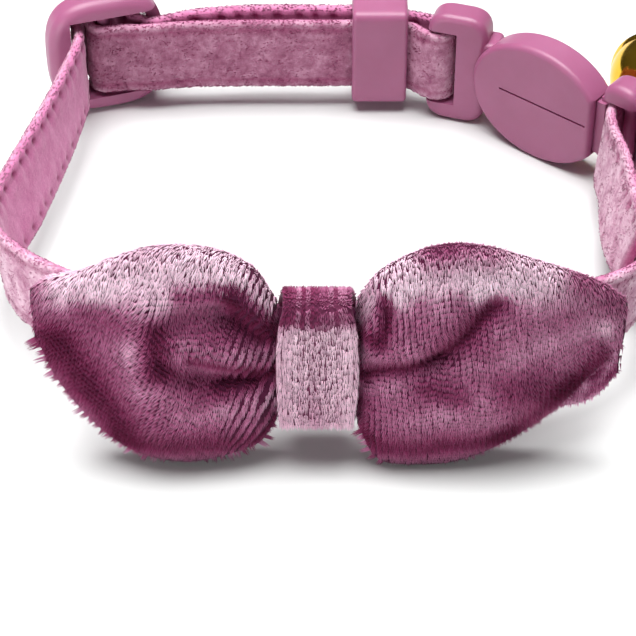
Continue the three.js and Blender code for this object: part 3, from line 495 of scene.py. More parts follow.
def strap_pile(material):
    """Short pile on the tape: dense on its edges and pile side, none on the plain side."""
    S, P, T, up, side, half = tape_frames(0.16)
    r = np.random.default_rng(5)
    def patch(count, face, edge_only=False):
        i = r.integers(0, len(S), count)
        if edge_only:
            sgn = r.choice([-1, 1], count); a = r.uniform(-0.5, 0.5, count) * math.pi
            u = sgn * (half[i] - 0.5 + 0.5 * np.cos(a)); v = (TAPE["thick"] / 2 - 0.08) * np.sin(a)
            normal = up[i] * (sgn * np.cos(a))[:, None] + side[i] * np.sin(a)[:, None]
        else:
            u = r.uniform(-1, 1, count) * (half[i] - 0.4); v = np.full(count, face * (TAPE["thick"] / 2 - 0.1))
            normal = side[i] * face
        return P[i] + up[i] * u[:, None] + side[i] * v[:, None], normal, i, u
    parts = [patch(9600, 0, True), patch(9600, -1)]
    roots, normal, i, u = (np.concatenate([p[k] for p in parts]) for k in range(4))
    flow = unit(T[i] * 0.8 + up[i] * r.normal(0, 0.35, (len(i), 1)) - up[i] * 0.25)
    flow = unit(flow - normal * (flow * normal).sum(1, keepdims=True))
    lean = r.uniform(0.70, 0.95, len(i))
    patches = 0.55 + 0.45 * np.sin(S[i] * 1.1 + np.sin(u * 1.3 + S[i] * 0.37) * 1.6)
    # painted light level: random patches plus the tape's painted shade
    return strands("strap_nap", roots, normal, flow, lean, r.uniform(0.22, 0.40, len(i)), 0.11, np.clip(0.28 + 0.22 * patches + 0.33 * tape_painted_shade(P)[i], 0, 1), material, 6, per=1, vary=0.2)


# ------------------------------------------------------------------ the bow (same outline and folds as the frame's bow, worked finer)
BOW = dict(y=1.5, z=13.7, lean=10.38, wall=0.9, slack=1.75)
BOW_EDGE = np.array([                              # along, top, lower edge in front, lower edge behind, stands out, roll radius
    (-29.7, 7.4, 3.8, 4.0, -0.6, 0.9), (-29.3, 8.4, 2.2, 2.6, -0.2, 1.0), (-28.3, 9.2, -0.6, 0.2, 0.3, 1.2),
    (-26.5, 9.6, -4.0, -3.0, 0.9, 1.4), (-24.7, 10.1, -6.8, -5.8, 1.4, 1.5), (-22.7, 11.2, -9.3, -8.2, 1.9, 1.6),
    (-20.7, 12.1, -11.1, -10.0, 2.3, 1.7), (-18.9, 12.9, -12.2, -11.0, 2.6, 1.7), (-16.5, 13.4, -13.0, -12.0, 2.7, 1.7),
    (-13.8, 13.5, -13.2, -12.2, 2.6, 1.7), (-10.5, 13.0, -12.4, -11.4, 2.4, 1.6), (-7.7, 11.6, -11.2, -10.2, 1.9, 1.5),
    (-5.9, 9.9, -10.2, -9.2, 1.3, 1.2), (-5.2, 8.0, -8.6, -7.8, 0.7, 1.0), (-4.6, 5.8, -6.0, -5.9, 0.1, 0.9),
    (4.4, 5.8, -6.0, -5.9, 0.1, 0.9),
    (4.9, 8.0, -9.0, -8.0, 0.7, 1.0), (5.5, 9.5, -11.5, -10.4, 1.3, 1.2), (6.6, 10.4, -12.9, -11.8, 1.6, 1.3),
    (8.6, 11.9, -13.4, -12.4, 2.1, 1.5), (11.5, 13.2, -13.5, -12.5, 2.4, 1.6), (14.3, 13.7, -13.3, -12.2, 2.6, 1.7),
    (17.7, 13.3, -12.0, -11.4, 2.7, 1.7), (21.5, 12.1, -9.5, -9.6, 2.4, 1.6), (25.3, 10.7, -6.2, -7.2, 1.8, 1.5),
    (28.6, 9.3, -1.8, -6.6, 1.0, 1.3), (31.0, 7.8, 0.8, -4.6, 0.2, 1.1), (32.0, 6.2, 2.4, -1.6, -0.4, 0.9)])
# name, from (a, b), to (a, b), depth, half width
FOLDS = [
    ("left_roll_outer", -17.5, 9.0, -9.5, 10.6, 0.7, 2.4), ("left_roll_inner", -9.5, 10.6, -5.4, 5.6, 0.9, 1.9),
    ("left_hollow_outer", -14.0, 6.0, -9.6, 6.4, -1.1, 2.2), ("left_hollow_inner", -9.6, 6.4, -6.0, 2.6, -1.4, 1.9),
    ("left_middle_ridge", -15.0, 3.6, -5.4, 1.2, 0.8, 1.4), ("left_pocket", -12.5, -0.6, -6.4, -1.8, -1.3, 1.7),
    ("left_low_bulge", -14.0, -8.0, -6.0, -6.6, 0.7, 2.6), ("left_upright_ridge", -19.0, 7.0, -17.6, -6.0, 0.9, 2.8),
    ("right_curl", 5.4, 7.4, 5.4, 2.4, 0.8, 1.6), ("right_pocket", 7.6, 6.8, 7.2, 3.6, -0.9, 1.5),
    ("right_bulge", 9.0, 2.8, 13.6, 8.0, 0.9, 2.6), ("right_valley_inner", 5.4, -1.0, 13.0, 1.0, -1.4, 1.7),
    ("right_valley_outer", 13.0, 1.0, 18.0, 7.4, -1.5, 1.7), ("right_low_bulge", 7.0, -7.2, 22.0, -2.0, 0.9, 3.0)]


def bow_point(a, b, n):
    t = rad(BOW["lean"])
    return np.stack([a, BOW["y"] + b * math.sin(t) - n * math.cos(t), BOW["z"] + b * math.cos(t) + n * math.sin(t)], -1)


def fold_depth(a, b):
    out = 0
    for _, a1, b1, a2, b2, deep, wide in FOLDS:
        da, db = a2 - a1, b2 - b1
        t = np.clip(((a - a1) * da + (b - b1) * db) / (da * da + db * db), 0, 1)
        out = out + deep * np.exp(-((a - a1 - t * da) ** 2 + (b - b1 - t * db) ** 2) / wide ** 2)
    return out * smoothstep(4.3, 6.4, np.abs(a))


def bow_grid(A, front=48, roll=12, back=16):
    """Middle surface of the folded cloth: rows along A; columns from the front's lower edge up, over the roll and down behind."""
    E = [np.interp(A, BOW_EDGE[:, 0], BOW_EDGE[:, k]) for k in range(1, 6)]
    k = 7
    E = [np.convolve(np.pad(e, k // 2, "edge"), np.ones(k) / k, "valid") for e in E]
    pin = (A > -4.75) & (A < 4.55)
    raw = [np.interp(A, BOW_EDGE[:, 0], BOW_EDGE[:, k]) for k in range(1, 6)]
    top, bot, low, out, r = (np.where(pin, q, e)[:, None] for q, e in zip(raw, E))
    h = 0.6
    mid, half = (top + bot) / 2, (top - bot) / 2
    def stand(b):
        t = np.minimum(np.abs((b - mid) / half), 1) ** 3
        return np.where(b > mid, out * (1 - 0.75 * t), out * (1 - 1.25 * t))
    line = top - h - r
    n_top = stand(line); n_back = n_top - 2 * r
    def behind(b):
        t = np.clip((b - low) / (line - low), 0, 1); t = t * t * (3 - 2 * t)
        start = np.minimum(stand(bot) - BOW["slack"], n_back + 0.9)
        return start + (n_back - start) * t
    f = np.linspace(0, 1, front)[None]
    b1 = bot + (line - bot) * f
    a1 = np.broadcast_to(A[:, None], b1.shape)
    n1 = stand(b1) + fold_depth(a1, b1) * (1 - smoothstep(0, 1, (b1 - (line - 2.5)) / 2.5))
    n1 = np.maximum(n1, behind(b1) + BOW["slack"])
    ang = np.pi * np.arange(1, roll)[None] / roll
    b2, n2 = line + r * np.sin(ang), n_top - r + r * np.cos(ang)
    f = np.linspace(0, 1, back)[None]
    b3 = line + (low - line) * f
    n3 = behind(b3)
    B, Nn = np.concatenate([b1, b2, b3], 1), np.concatenate([n1, n2, n3], 1)
    AA = np.broadcast_to(A[:, None], B.shape)
    return AA, B, Nn, bow_point(AA, B, Nn)


def grid_normals(G):
    gi, gj = np.gradient(G, axis=0), np.gradient(G, axis=1)
    return unit(np.cross(gi, gj))


def closed_sheet(G, N, half):
    rows, cols = G.shape[:2]
    V = np.concatenate([(G + N * half).reshape(-1, 3), (G - N * half).reshape(-1, 3)])
    i, j = np.meshgrid(np.arange(rows - 1), np.arange(cols - 1), indexing="ij")
    a = (i * cols + j).ravel(); b = a + 1; c = a + cols + 1; d = a + cols; n = rows * cols
    quads = [np.stack([a, d, c, b], 1), np.stack([a + n, b + n, c + n, d + n], 1)]
    def rim(line, flip):
        p, q = line[:-1], line[1:]
        r = np.stack([p, q, q + n, p + n], 1)
        return r[:, ::-1] if flip else r
    ids = np.arange(n).reshape(rows, cols)
    quads += [rim(ids[:, 0], False), rim(ids[:, -1], True), rim(ids[0], True), rim(ids[-1], False)]
    return V, np.concatenate(quads)


def cloth_area(G):
    a, b, c, d = G[:-1, :-1], G[1:, :-1], G[1:, 1:], G[:-1, 1:]
    return 0.5 * (np.linalg.norm(np.cross(b - a, c - a), axis=-1) + np.linalg.norm(np.cross(c - a, d - a), axis=-1)).sum()


# Strokes of the nap and of painted light (name, from (a, b), to (a, b), amount, half width): positive stands the pile
# up and paints it dark, as painted shade in hollows, pockets, creases and on the low faces; negative lays it flat and
# paints it light, as painted highlight on the roll tops.
NAP_AND_PAINTED_LIGHT = [
    ("left_tip", -28.5, 4.5, -27.0, 2.5, 0.20, 1.6), ("left_low_dark", -27.0, 2.6, -20.6, -6.6, 0.82, 3.0), ("left_under_tip", -24.2, 6.6, -20.0, 6.2, 0.32, 1.6),
    ("left_bottom", -20.5, -9.4, -5.4, -9.2, 0.74, 2.0), ("left_band", -19.0, 6.0, -18.4, -6.2, -0.14, 1.5),
    ("left_roll", -26.0, 9.2, -9.0, 12.4, -0.50, 2.5), ("left_roll_in", -8.8, 10.8, -5.4, 6.8, -0.50, 1.2),
    ("left_under_roll", -14.1, 9.4, -8.8, 9.2, 0.40, 0.9), ("left_hollow", -8.6, 8.4, -5.3, 3.6, 1.05, 1.3), ("left_hollow_in", -8.4, 6.0, -6.8, 4.2, 0.5, 1.6),
    ("left_bowl_side", -16.9, 5.4, -16.6, 0.9, 0.75, 1.2), ("left_bowl_low", -16.1, 0.9, -10.9, -2.4, 0.42, 1.4), ("left_face", -14.0, 5.8, -9.0, 4.6, 0.24, 1.7),
    ("left_ridge_line", -14.1, 3.8, -5.0, 1.4, -0.16, 0.75), ("left_crease", -13.3, 2.0, -5.0, -0.8, 0.78, 0.75), ("left_pocket", -9.8, -1.8, -5.9, -1.5, 0.92, 1.1),
    ("left_pocket_deep", -8.0, -2.0, -6.4, -2.0, 0.40, 0.9), ("left_low_light", -10.3, -4.2, -4.8, -3.9, -0.18, 1.1), ("left_knot_low", -5.2, -6.0, -4.8, -9.0, 0.40, 1.0),
    ("right_top_dark", 9.8, 13.2, 15.5, 14.0, 0.70, 0.8), ("right_roll", 8.0, 9.8, 24.0, 10.8, -0.50, 2.2), ("right_roll_in", 5.4, 7.4, 9.0, 10.6, -0.32, 1.3),
    ("right_curl_dark", 5.0, 4.0, 6.6, 3.4, 0.78, 0.9), ("right_pocket", 7.1, 8.4, 7.2, 4.8, 1.0, 0.75), ("right_bulge_dark", 10.8, 8.4, 14.5, 9.0, 0.30, 1.1),
    ("right_crease", 5.2, -1.0, 13.2, 1.5, 0.98, 0.95), ("right_crease_up", 13.2, 1.5, 18.5, 8.0, 0.98, 1.15), ("right_crease_side", 12.0, 3.0, 15.5, 6.8, 0.30, 1.2),
    ("right_low_light", 9.2, -4.4, 19.2, -4.4, -0.04, 1.6), ("right_low_grey", 11.3, -2.0, 15.0, -2.6, 0.36, 0.9), ("right_knot_low", 4.9, -4.4, 5.6, -8.4, 0.50, 1.1),
    ("right_bottom", 6.0, -9.8, 19.5, -9.0, 0.75, 1.9), ("right_low_edge", 20.2, -8.2, 29.7, 0.8, 0.72, 1.7), ("right_outer_dark", 20.2, -1.8, 26.6, -2.4, 0.42, 1.9),
    ("right_face_out", 19.0, 3.4, 27.0, 4.6, -0.06, 2.4), ("right_tip_edge", 29.8, 4.6, 30.8, 1.6, -0.25, 1.0)]


def wander(a, b, seed, size):
    """Slow random waves over the cloth, from -1 to 1."""
    r = np.random.default_rng(seed)
    v = 0
    for _ in range(7):
        k = r.normal(0, 1, 2); k = k / np.hypot(*k) / (size * r.uniform(0.6, 1.6))
        v = v + np.sin(2 * math.pi * (a * k[0] + b * k[1]) + r.uniform(0, 6.28))
    return v / 4.0


# The strokes give both how the pile stands and the bow's painted shade and painted highlight.
def nap(a, b):
    v = 0
    for _, a1, b1, a2, b2, amount, wide in NAP_AND_PAINTED_LIGHT:
        da, db = a2 - a1, b2 - b1
        t = np.clip(((a - a1) * da + (b - b1) * db) / (da * da + db * db), 0, 1)
        v = v + amount * np.exp(-((a - a1 - t * da) ** 2 + (b - b1 - t * db) ** 2) / wide ** 2)
    return np.clip(v + 0.08 * wander(a, b, 3, 4.0), -0.6, 1.0)


# Where the pile is combed to one side (name, from (a, b), to (a, b), degrees from down the cloth towards the tip, half width).
COMB = [
    ("left_band", -18.6, 6.0, -17.2, -7.5, 48.0, 2.4), ("left_tip", -27.0, 5.0, -25.0, -2.0, 25.0, 3.0), ("left_low", -15.0, -8.8, -8.0, -9.4, 22.0, 2.0),
    ("left_bowl", -13.5, 5.5, -13.0, -1.0, -22.0, 2.0), ("right_curl", 6.0, 7.0, 6.0, 2.0, -55.0, 1.6), ("right_edge", 24.0, -4.0, 30.0, 2.0, 35.0, 2.4)]


def comb(a, b, outward):
    v = 0
    for _, a1, b1, a2, b2, turn, wide in COMB:
        da, db = a2 - a1, b2 - b1
        t = np.clip(((a - a1) * da + (b - b1) * db) / (da * da + db * db), 0, 1)
        v = v + turn * np.exp(-((a - a1 - t * da) ** 2 + (b - b1 - t * db) ** 2) / wide ** 2)
    return np.radians(v) * outward


def laid_out(A, B, G, N, crown, step=0.1):
    """The cloth sampled by distance from the fold's crown: front and back, each with place, normal, height and the way down."""
    out = {}
    S = np.concatenate([np.zeros((len(A), 1)), np.cumsum(np.linalg.norm(np.diff(G, axis=1), axis=2), axis=1)], 1)
    for part, way in (("front", -1), ("back", 1)):
        reach = S[:, crown] if way < 0 else S[:, -1] - S[:, crown]
        K = int(reach.max() / step) + 2
        P, Q, H = np.empty((len(A), K, 3)), np.empty((len(A), K, 3)), np.empty((len(A), K))
        for i in range(len(A)):
            at = S[i, crown] + way * np.arange(K) * step
            for q in range(3):
                P[i, :, q] = np.interp(at, S[i], G[i, :, q]); Q[i, :, q] = np.interp(at, S[i], N[i, :, q])
            H[i] = np.interp(at, S[i], B[i])
        D = np.gradient(P, axis=1); D[:, -2:] = D[:, -3:-2]
        out[part] = (P, unit(Q), H, D, np.gradient(P, axis=0), reach, step)
    return out


def bow_pile(A, B, G, N, crown, pile):
    laid, made = laid_out(A, B, G, N, crown), []
    gaps = np.linalg.norm(np.diff(G[:, 3:45:4], axis=0), axis=2).mean(1)
    run = np.concatenate([[0], np.cumsum(gaps)])                 # true length along the bow, for even columns
    for side, lo, hi, outward, shear in (("left", -29.62, -4.6, -1, -0.30), ("right", 4.45, 31.9, 1, 0.05)):
        for part in ("front", "back"):
            P, Q, H, D, X, reach, step = laid[part]
            wide, pitch = (0.60, 0.54) if side == "left" else (0.60, 0.56)
            r = np.random.default_rng(77)
            l0, l1 = np.interp([lo, hi], A, run)
            u, v = np.meshgrid(np.arange(l0 - 8, l1 + 8, wide), np.arange(0.05, reach.max(), pitch), indexing="ij")
            iu, iv = np.meshgrid(np.arange(u.shape[0]), np.arange(u.shape[1]), indexing="ij")
            v = v + r.uniform(-0.5, 0.5, (u.shape[0], 1)) * pitch * (0.10 + 0.85 * smoothstep(8, 4.5, v) if part == "front" else 0.8)
            u, v, iu, iv = (k.ravel() for k in (u, v, iu, iv))
            u = u + r.normal(0, 0.020, len(u)) + 0.05 * wander(u, v, 71, 2.0)
            v = v + r.normal(0, 0.025, len(u)) + 0.05 * wander(u, v, 72, 2.0)
            l = u + shear * v * (1 if part == "front" else 0)
            a = np.interp(l, run, A)
            far = (v > 2.6) & (part == "back")
            fi = np.interp(a, A, np.arange(len(A)))
            keep = (l > l0) & (l < l1) & (v > 0) & (v < np.interp(a, A, reach) - 0.60) & (~far | ((iu % 2 == 0) & (iv % 2 == 0)))
            u, v, a, fi, far = (k[keep] for k in (u, v, a, fi, far))
            i0 = np.clip(np.floor(fi).astype(int), 0, len(A) - 2); wi = fi - i0
            k0 = np.clip((v / step).astype(int), 0, P.shape[1] - 2); wk = v / step - k0
            def at(F):
                e = (slice(None), None) if F.ndim == 3 else slice(None)
                return (F[i0, k0] * (1 - wi)[e] + F[i0 + 1, k0] * wi[e]) * (1 - wk)[e] + (F[i0, k0 + 1] * (1 - wi)[e] + F[i0 + 1, k0 + 1] * wi[e]) * wk[e]
            p, nn, b, dd, al = at(P), unit(at(Q)), at(H), unit(at(D)), unit(at(X))
            if part == "front":
                m = nap(a, b)
                turn = comb(a, b, outward) + math.atan(shear) + 0.10 * wander(a, b, 12, 6.0)
            else:
                m = 0.08 + 0.16 * wander(a, v, 9, 5.0) + 0.60 * np.exp(-((a - 13.0) / 3.4) ** 2)
                turn = 0.10 * wander(a, v, 12, 6.0)
            fl = dd * np.cos(turn)[:, None] + al * np.sin(turn)[:, None]
            fl = unit(fl - nn * (fl * nn).sum(1, keepdims=True))
            up, down = np.maximum(m, 0), np.maximum(-m, 0)
            lean = np.clip(0.86 - 0.66 * up + 0.10 * down, 0.12, 0.95) * smoothstep(-2.5, 0.6, v)
            long = 0.92 + 0.75 * down - 0.28 * up + far * 0.55 - 0.25 * smoothstep(0.8, 0.0, v)
            # painted light: painted shade where the strokes stand the pile up, painted highlight where they lay it flat
            made.append(strands(f"bow_pile_{side}_{part}", p + nn * (BOW["wall"] / 2 - 0.04), nn, fl, lean, long, 0.082 + far * 0.10, np.clip(0.50 - 0.50 * up + 1.06 * down, 0.0, 1.0),
                                pile, {"leftfront": 21, "rightfront": 22, "leftback": 23, "rightback": 24}[side + part],
                                per=8 if part == "front" else 6, span=wide - 0.14 + far * 0.50, vary=0.45,
                                dome=0.45 if part == "front" else 0.1, slip=(0.06 if side == "left" else 0.035) + 0.20 * smoothstep(7.0, 4.0, v) if part == "front" else 0.16))
    return made


def bow_pieces(ground, pile):
    A = np.concatenate([np.linspace(-29.7, -4.75, 68), np.linspace(-4.6, 4.4, 10), np.linspace(4.55, 32.0, 74)])
    AA, B, Nn, G = bow_grid(A)
    N = grid_normals(G)
    outward = np.sign((N[:, 22] * np.array([0, -1, 0.18])).sum(1).mean())
    N = N * outward
    V, quads = closed_sheet(G, N, BOW["wall"] / 2)
    cloth = make("bow_cloth", V, quads, ground, replaces=("bow",))
    fix_normals(cloth)
    area = cloth_area(G)
    made = [cloth]
    front, roll = 48, 12
    made += bow_pile(A, B, G, N, front + roll - 3, pile)
    made.append(inner_pile(A, B, G, N, pile))
    made.append(fringe(A, B, G, N, pile))
    return made, area, G


def fringe(A, B, G, N, pile):
    """Frayed brushes of thread along the raw lower edges of the bow's cloth."""
    r = np.random.default_rng(31)
    bags = []
    for column, inner, gap, long in ((0, 2, 0.90, 1.40), (-1, -3, 0.66, 0.90)):
        line, into = G[:, column], G[:, inner]
        tangent = unit(np.gradient(line, axis=0))
        out = unit(np.cross(N[:, column], tangent))
        out = out * np.sign((out * (line - into)).sum(1, keepdims=True))
        face = np.array([0, -math.cos(rad(BOW["lean"])), math.sin(rad(BOW["lean"]))])
        out = unit(out - face * ((out @ face) * 0.9)[:, None])
        s = np.concatenate([[0], np.cumsum(np.linalg.norm(np.diff(line, axis=0), axis=1))])
        at = np.arange(0.2, s[-1] - 0.2, gap); at = at + r.uniform(-0.10, 0.10, len(at))
        idx = np.interp(at, s, np.arange(len(s)))
        get = lambda arr: np.stack([np.interp(idx, np.arange(len(s)), arr[:, q]) for q in range(3)], 1)
        p, o, n = get(line), unit(get(out)), unit(get(N[:, column]))
        a = p[:, 0]
        keep = (np.abs(a) > 4.9)
        L = long * np.where((a < -6) | ((a > 4) & (a < 13)), 1.0, 0.62) * r.uniform(0.75, 1.2, len(at))
        o = unit(o + np.stack([r.normal(0, 0.12, len(at)), np.zeros(len(at)), r.normal(0, 0.05, len(at))], 1))
        # nothing reaches below the floor
        room = (p[:, 2] + OFF[2] - 0.12) / np.maximum(-o[:, 2] * 0.9, 1e-3)
        L = np.where(o[:, 2] < 0, np.minimum(L, np.maximum(room, 0.25)), L)
        bags.append(np.column_stack([p - o * 0.35, n, o, np.full(len(at), 0.93), L + 0.3, np.clip(0.36 + 0.20 * r.uniform(-1, 1, len(at)), 0, 1)])[keep])
    q = np.concatenate(bags)
    return strands("bow_fringe", q[:, :3], q[:, 3:6], q[:, 6:9], q[:, 9], q[:, 10], 0.17, q[:, 11], pile, 33, per=12, span=0.52, loose=0.02, fan=0.0, dome=0.05, slip=0.04)


def inner_pile(A, B, G, N, pile):
    """Pile on the face of the rear layer that shows past the front one at its lower edge."""
    front, roll = 48, 12
    bags = []
    r = np.random.default_rng(61)
    for i in np.arange(0, len(A) - 1, 1):
        if not (abs(A[i]) > 6.0):
            continue
        line, nl = G[i, front + roll - 1:], N[i, front + roll - 1:]
        s = np.concatenate([[0], np.cumsum(np.linalg.norm(np.diff(line, axis=0), axis=1))])
        v = np.arange(0.15 + 0.22 * (i % 2), min(6.0 if A[i] > 18 else 1.6, s[-1] - 0.2), 0.45)
        at = s[-1] - v
        get = lambda arr: np.stack([np.interp(at, s, arr[:, q]) for q in range(3)], 1)
        p, n, d = get(line), -unit(get(nl)), unit(get(np.gradient(line, axis=0)))
        m = 0.42 + 0.30 * wander(np.full(len(v), A[i]), v, 15, 2.5) - 0.30 * np.exp(-(v / 0.6) ** 2)
        bags.append(np.column_stack([p + n * (BOW["wall"] / 2 - 0.04), n, d, np.clip(0.72 - 0.4 * m, 0.1, 0.95), np.full(len(v), 0.55), np.clip(0.75 - 0.75 * m, 0, 1)]))
    q = np.concatenate(bags)
    return strands("bow_pile_inner", q[:, :3], q[:, 3:6], q[:, 6:9], q[:, 9], q[:, 10], 0.12, q[:, 11], pile, 34, per=5, span=0.30)


# ------------------------------------------------------------------ the band round the knot
BAND = dict(x=-0.1, half=4.2, wall=1.2, corner=1.7, section=[(2.46, -7.75), (2.46, 7.75), (-1.6, 7.75), (-5.95, 4.45), (-5.95, -7.75)])


def rounded_loop(corners, r, n=8):
    out, P = [], [np.array(c, float) for c in corners]
    for i, p in enumerate(P):
        a, b = unit(P[i - 1] - p), unit(P[(i + 1) % len(P)] - p)
        for t in np.linspace(0, 1, n):
            out.append((1 - t) ** 2 * (p + a * r) + 2 * t * (1 - t) * p + t ** 2 * (p + b * r))
    return np.array(out)


def even_loop(points, step):
    P = np.vstack([points, points[:1]])
    s = np.concatenate([[0], np.cumsum(np.linalg.norm(np.diff(P, axis=0), axis=1))])
    n = int(s[-1] / step)
    S = np.linspace(0, s[-1], n, endpoint=False)
    return np.stack([np.interp(S, s, P[:, k]) for k in range(2)], 1)


def band_width(b, n):
    """Half width of the band, and the shift of its middle, by its place up the front."""
    t = np.clip((b + 7.75) / 15.5, 0, 1)
    half = 3.95 + 0.45 * np.sin(math.pi * np.clip(t * 1.05, 0, 1)) - 0.35 * smoothstep(0.75, 1.0, t)
    shift = -0.05 + 0.10 * np.sin(2.2 * t)
    return half, shift


def band_piece(ground, pile):
    loop = even_loop(rounded_loop(BAND["section"], BAND["corner"]), 0.25)
    m = len(loop)
    tangent = unit(np.roll(loop, -1, 0) - np.roll(loop, 1, 0))
    centre = loop.mean(0)
    normal = np.stack([tangent[:, 1], -tangent[:, 0]], 1)
    if ((loop - centre) * normal).sum() < 0:
        normal = -normal
    half, shift = band_width(loop[:, 1], loop[:, 0])
    # section across the width: outer face slightly crowned, rounded edges, plain inner face
    K = 17
    prof = []
    for k in range(K):
        t = -1 + 2 * k / (K - 1); prof.append((t * 0.94, 0.5 - 0.10 * abs(t) ** 6 + 0.06 * (1 - t * t)))
    prof += [(0.99, 0.25), (1.0, 0.0), (0.99, -0.3), (0.94, -0.5)]
    prof += [(-0.94, -0.5), (-0.99, -0.3), (-1.0, 0.0), (-0.99, 0.25)]
    prof = np.array(prof)
    thick = BAND["wall"] - 0.3
    x = BAND["x"] + shift[:, None] + prof[None, :, 0] * half[:, None]
    off = (prof[None, :, 1] - 0.5) * thick - 0.12
    q = loop[:, None, :] + normal[:, None, :] * off[..., None]
    V = bow_point(x, q[..., 1], q[..., 0])
    n, k = x.shape
    i, j = np.meshgrid(np.arange(n), np.arange(k), indexing="ij")
    a, b, c, d = i * k + j, i * k + (j + 1) % k, ((i + 1) % n) * k + (j + 1) % k, ((i + 1) % n) * k + j
    cloth = make("band_cloth", V.reshape(-1, 3), np.stack([a, b, c, d], -1).reshape(-1, 4), ground, replaces=("bow_band",))
    fix_normals(cloth)
    # pile rows: eleven or so columns across, rows up the front
    roots, nor, flow, lean, length, width, painted_light = [], [], [], [], [], [], []
    t = rad(BOW["lean"])
    Nf, Bf = np.array([0, -math.cos(t), math.sin(t)]), np.array([0, math.sin(t), math.cos(t)])
    rows = np.arange(0, m * 0.25, 0.60)
    phase = np.random.default_rng(43).uniform(-1, 1, 15)
    streak = np.random.default_rng(44).uniform(-1, 1, 15)
    for ri, s in enumerate(rows):
        i0 = int(s / 0.25) % m
        hb, sb = half[i0], shift[i0]
        cols = np.linspace(-1, 1, 15) * (hb - 0.28)
        loose_row = 0.30 if loop[i0][1] > 4.8 or loop[i0][0] < 0 else 0.09
        for ci, x0 in enumerate(cols):
            i1 = int(round((s + phase[ci] * loose_row) / 0.25)) % m
            p, nn, tt = loop[i1], normal[i1], tangent[i1]
            P = bow_point(np.array(BAND["x"] + sb + x0), np.array(p[1]), np.array(p[0]))
            n3 = Nf * nn[0] + Bf * nn[1]
            edge = abs(x0) / hb
            n3 = unit(n3 + np.array([math.copysign(1, x0), 0, 0]) * 0.9 * edge ** 8)
            down = -(Nf * tt[0] + Bf * tt[1]) * (1 if tt[1] > 0 else -1) if abs(tt[1]) > 0.3 else (Nf * tt[0] + Bf * tt[1]) * (1 if tt[0] > 0 else -1)
            on_front = smoothstep(5.9, 5.0, p[1]) if p[0] > 0 else 0.0
            roots.append(P - n3 * 0.16); nor.append(n3); flow.append(unit(down - n3 * (down @ n3)))
            top_dark = 1 - on_front
            lean.append(0.88 - 0.46 * top_dark); length.append(1.15 if on_front > 0.5 else 0.70)
            # painted light level: top face painted dark as upright velvet pile looks, a random streak per column, and
            # darker towards the bottom of the front
            width.append(0.10); painted_light.append(np.clip(0.83 - (0.50 - 0.18 * streak[ci]) * top_dark + 0.05 * streak[ci] - 0.14 * smoothstep(0.0, -6.0, p[1]) * (1 - abs(x0) / hb), 0, 1))
    arr = lambda z: np.array(z, float)
    fur = strands("band_pile", arr(roots), arr(nor), arr(flow), arr(lean), arr(length), arr(width), arr(painted_light), pile, 41, per=6, span=0.41, loose=0.03, fan=0.02, vary=0.45, dome=0.12, slip=0.15)
    flat = (2 * float(half.mean()), m * 0.25)
    return cloth, fur, flat


# ------------------------------------------------------------------ moulded fittings
def outline_ellipse(mid, half_long, half_tall, end, n=160):
    t = np.linspace(0, 2 * math.pi, n, endpoint=False)
    x = mid + half_long * np.cos(t); y = half_tall * np.sin(t)
    return even_loop(np.stack([np.minimum(x, end), y], 1), 0.35)


def rounded_plate(outline, thick, fillet, k=6):
    """A plate with rounded rims: outline is (along, height), thick is across. Returns verts (along, across, height) and faces."""
    P = np.asarray(outline, float)
    area = 0.5 * (P[:, 0] * np.roll(P[:, 1], -1) - P[:, 1] * np.roll(P[:, 0], -1)).sum()
    if area < 0:
        P = P[::-1]
    T = unit(np.roll(P, -1, 0) - np.roll(P, 1, 0))
    inward = np.stack([-T[:, 1], T[:, 0]], 1)
    rings = []
    for sgn in (-1, 1):
        for q in (range(k, -1, -1) if sgn < 0 else range(0, k + 1)):
            a = 0.5 * math.pi * q / k
            ins, y = fillet * (1 - math.cos(a)), sgn * (thick / 2 - fillet + fillet * math.sin(a))
            R = P + inward * ins
            rings.append(np.stack([R[:, 0], np.full(len(R), y), R[:, 1]], 1))
    n, m = len(P), len(rings)
    V = np.concatenate(rings)
    F = []
    for r in range(m - 1):
        for j in range(n):
            a, b = r * n + j, r * n + (j + 1) % n
            F.append((a, b, b + n, a + n))
    F.append(tuple(range(n))[::-1]); F.append(tuple((m - 1) * n + j for j in range(n)))
    return V, F


def rounded_rect(x0, x1, y0, y1, r, n=10):
    return rounded_loop([(x0, y0), (x1, y0), (x1, y1), (x0, y1)], r, n)


def temp(name, V, F):
    mesh = bpy.data.meshes.new(name)
    mesh.from_pydata([tuple(v) for v in np.asarray(V, float) * 0.001], [], F)
    mesh.validate()
    o = bpy.data.objects.new(name, mesh)
    bpy.context.scene.collection.objects.link(o)
    bm = bmesh.new(); bm.from_mesh(mesh); bmesh.ops.recalc_face_normals(bm, faces=bm.faces); bm.to_mesh(mesh); bm.free()
    return o


def block(x0, x1, y0, y1, z0, z1):
    V = [(x, y, z) for x in (x0, x1) for y in (y0, y1) for z in (z0, z1)]
    F = [(0, 1, 3, 2), (4, 6, 7, 5), (0, 4, 5, 1), (2, 3, 7, 6), (0, 2, 6, 4), (1, 5, 7, 3)]
    return V, F


def rod(cx, cy, r, z0, z1, n=24):
    a = np.linspace(0, 2 * math.pi, n, endpoint=False)
    V = [(cx + r * math.cos(t), cy + r * math.sin(t), z) for z in (z0, z1) for t in a]
    F = [(j, (j + 1) % n, n + (j + 1) % n, n + j) for j in range(n)] + [tuple(range(n))[::-1], tuple(range(n, 2 * n))]
    return V, F


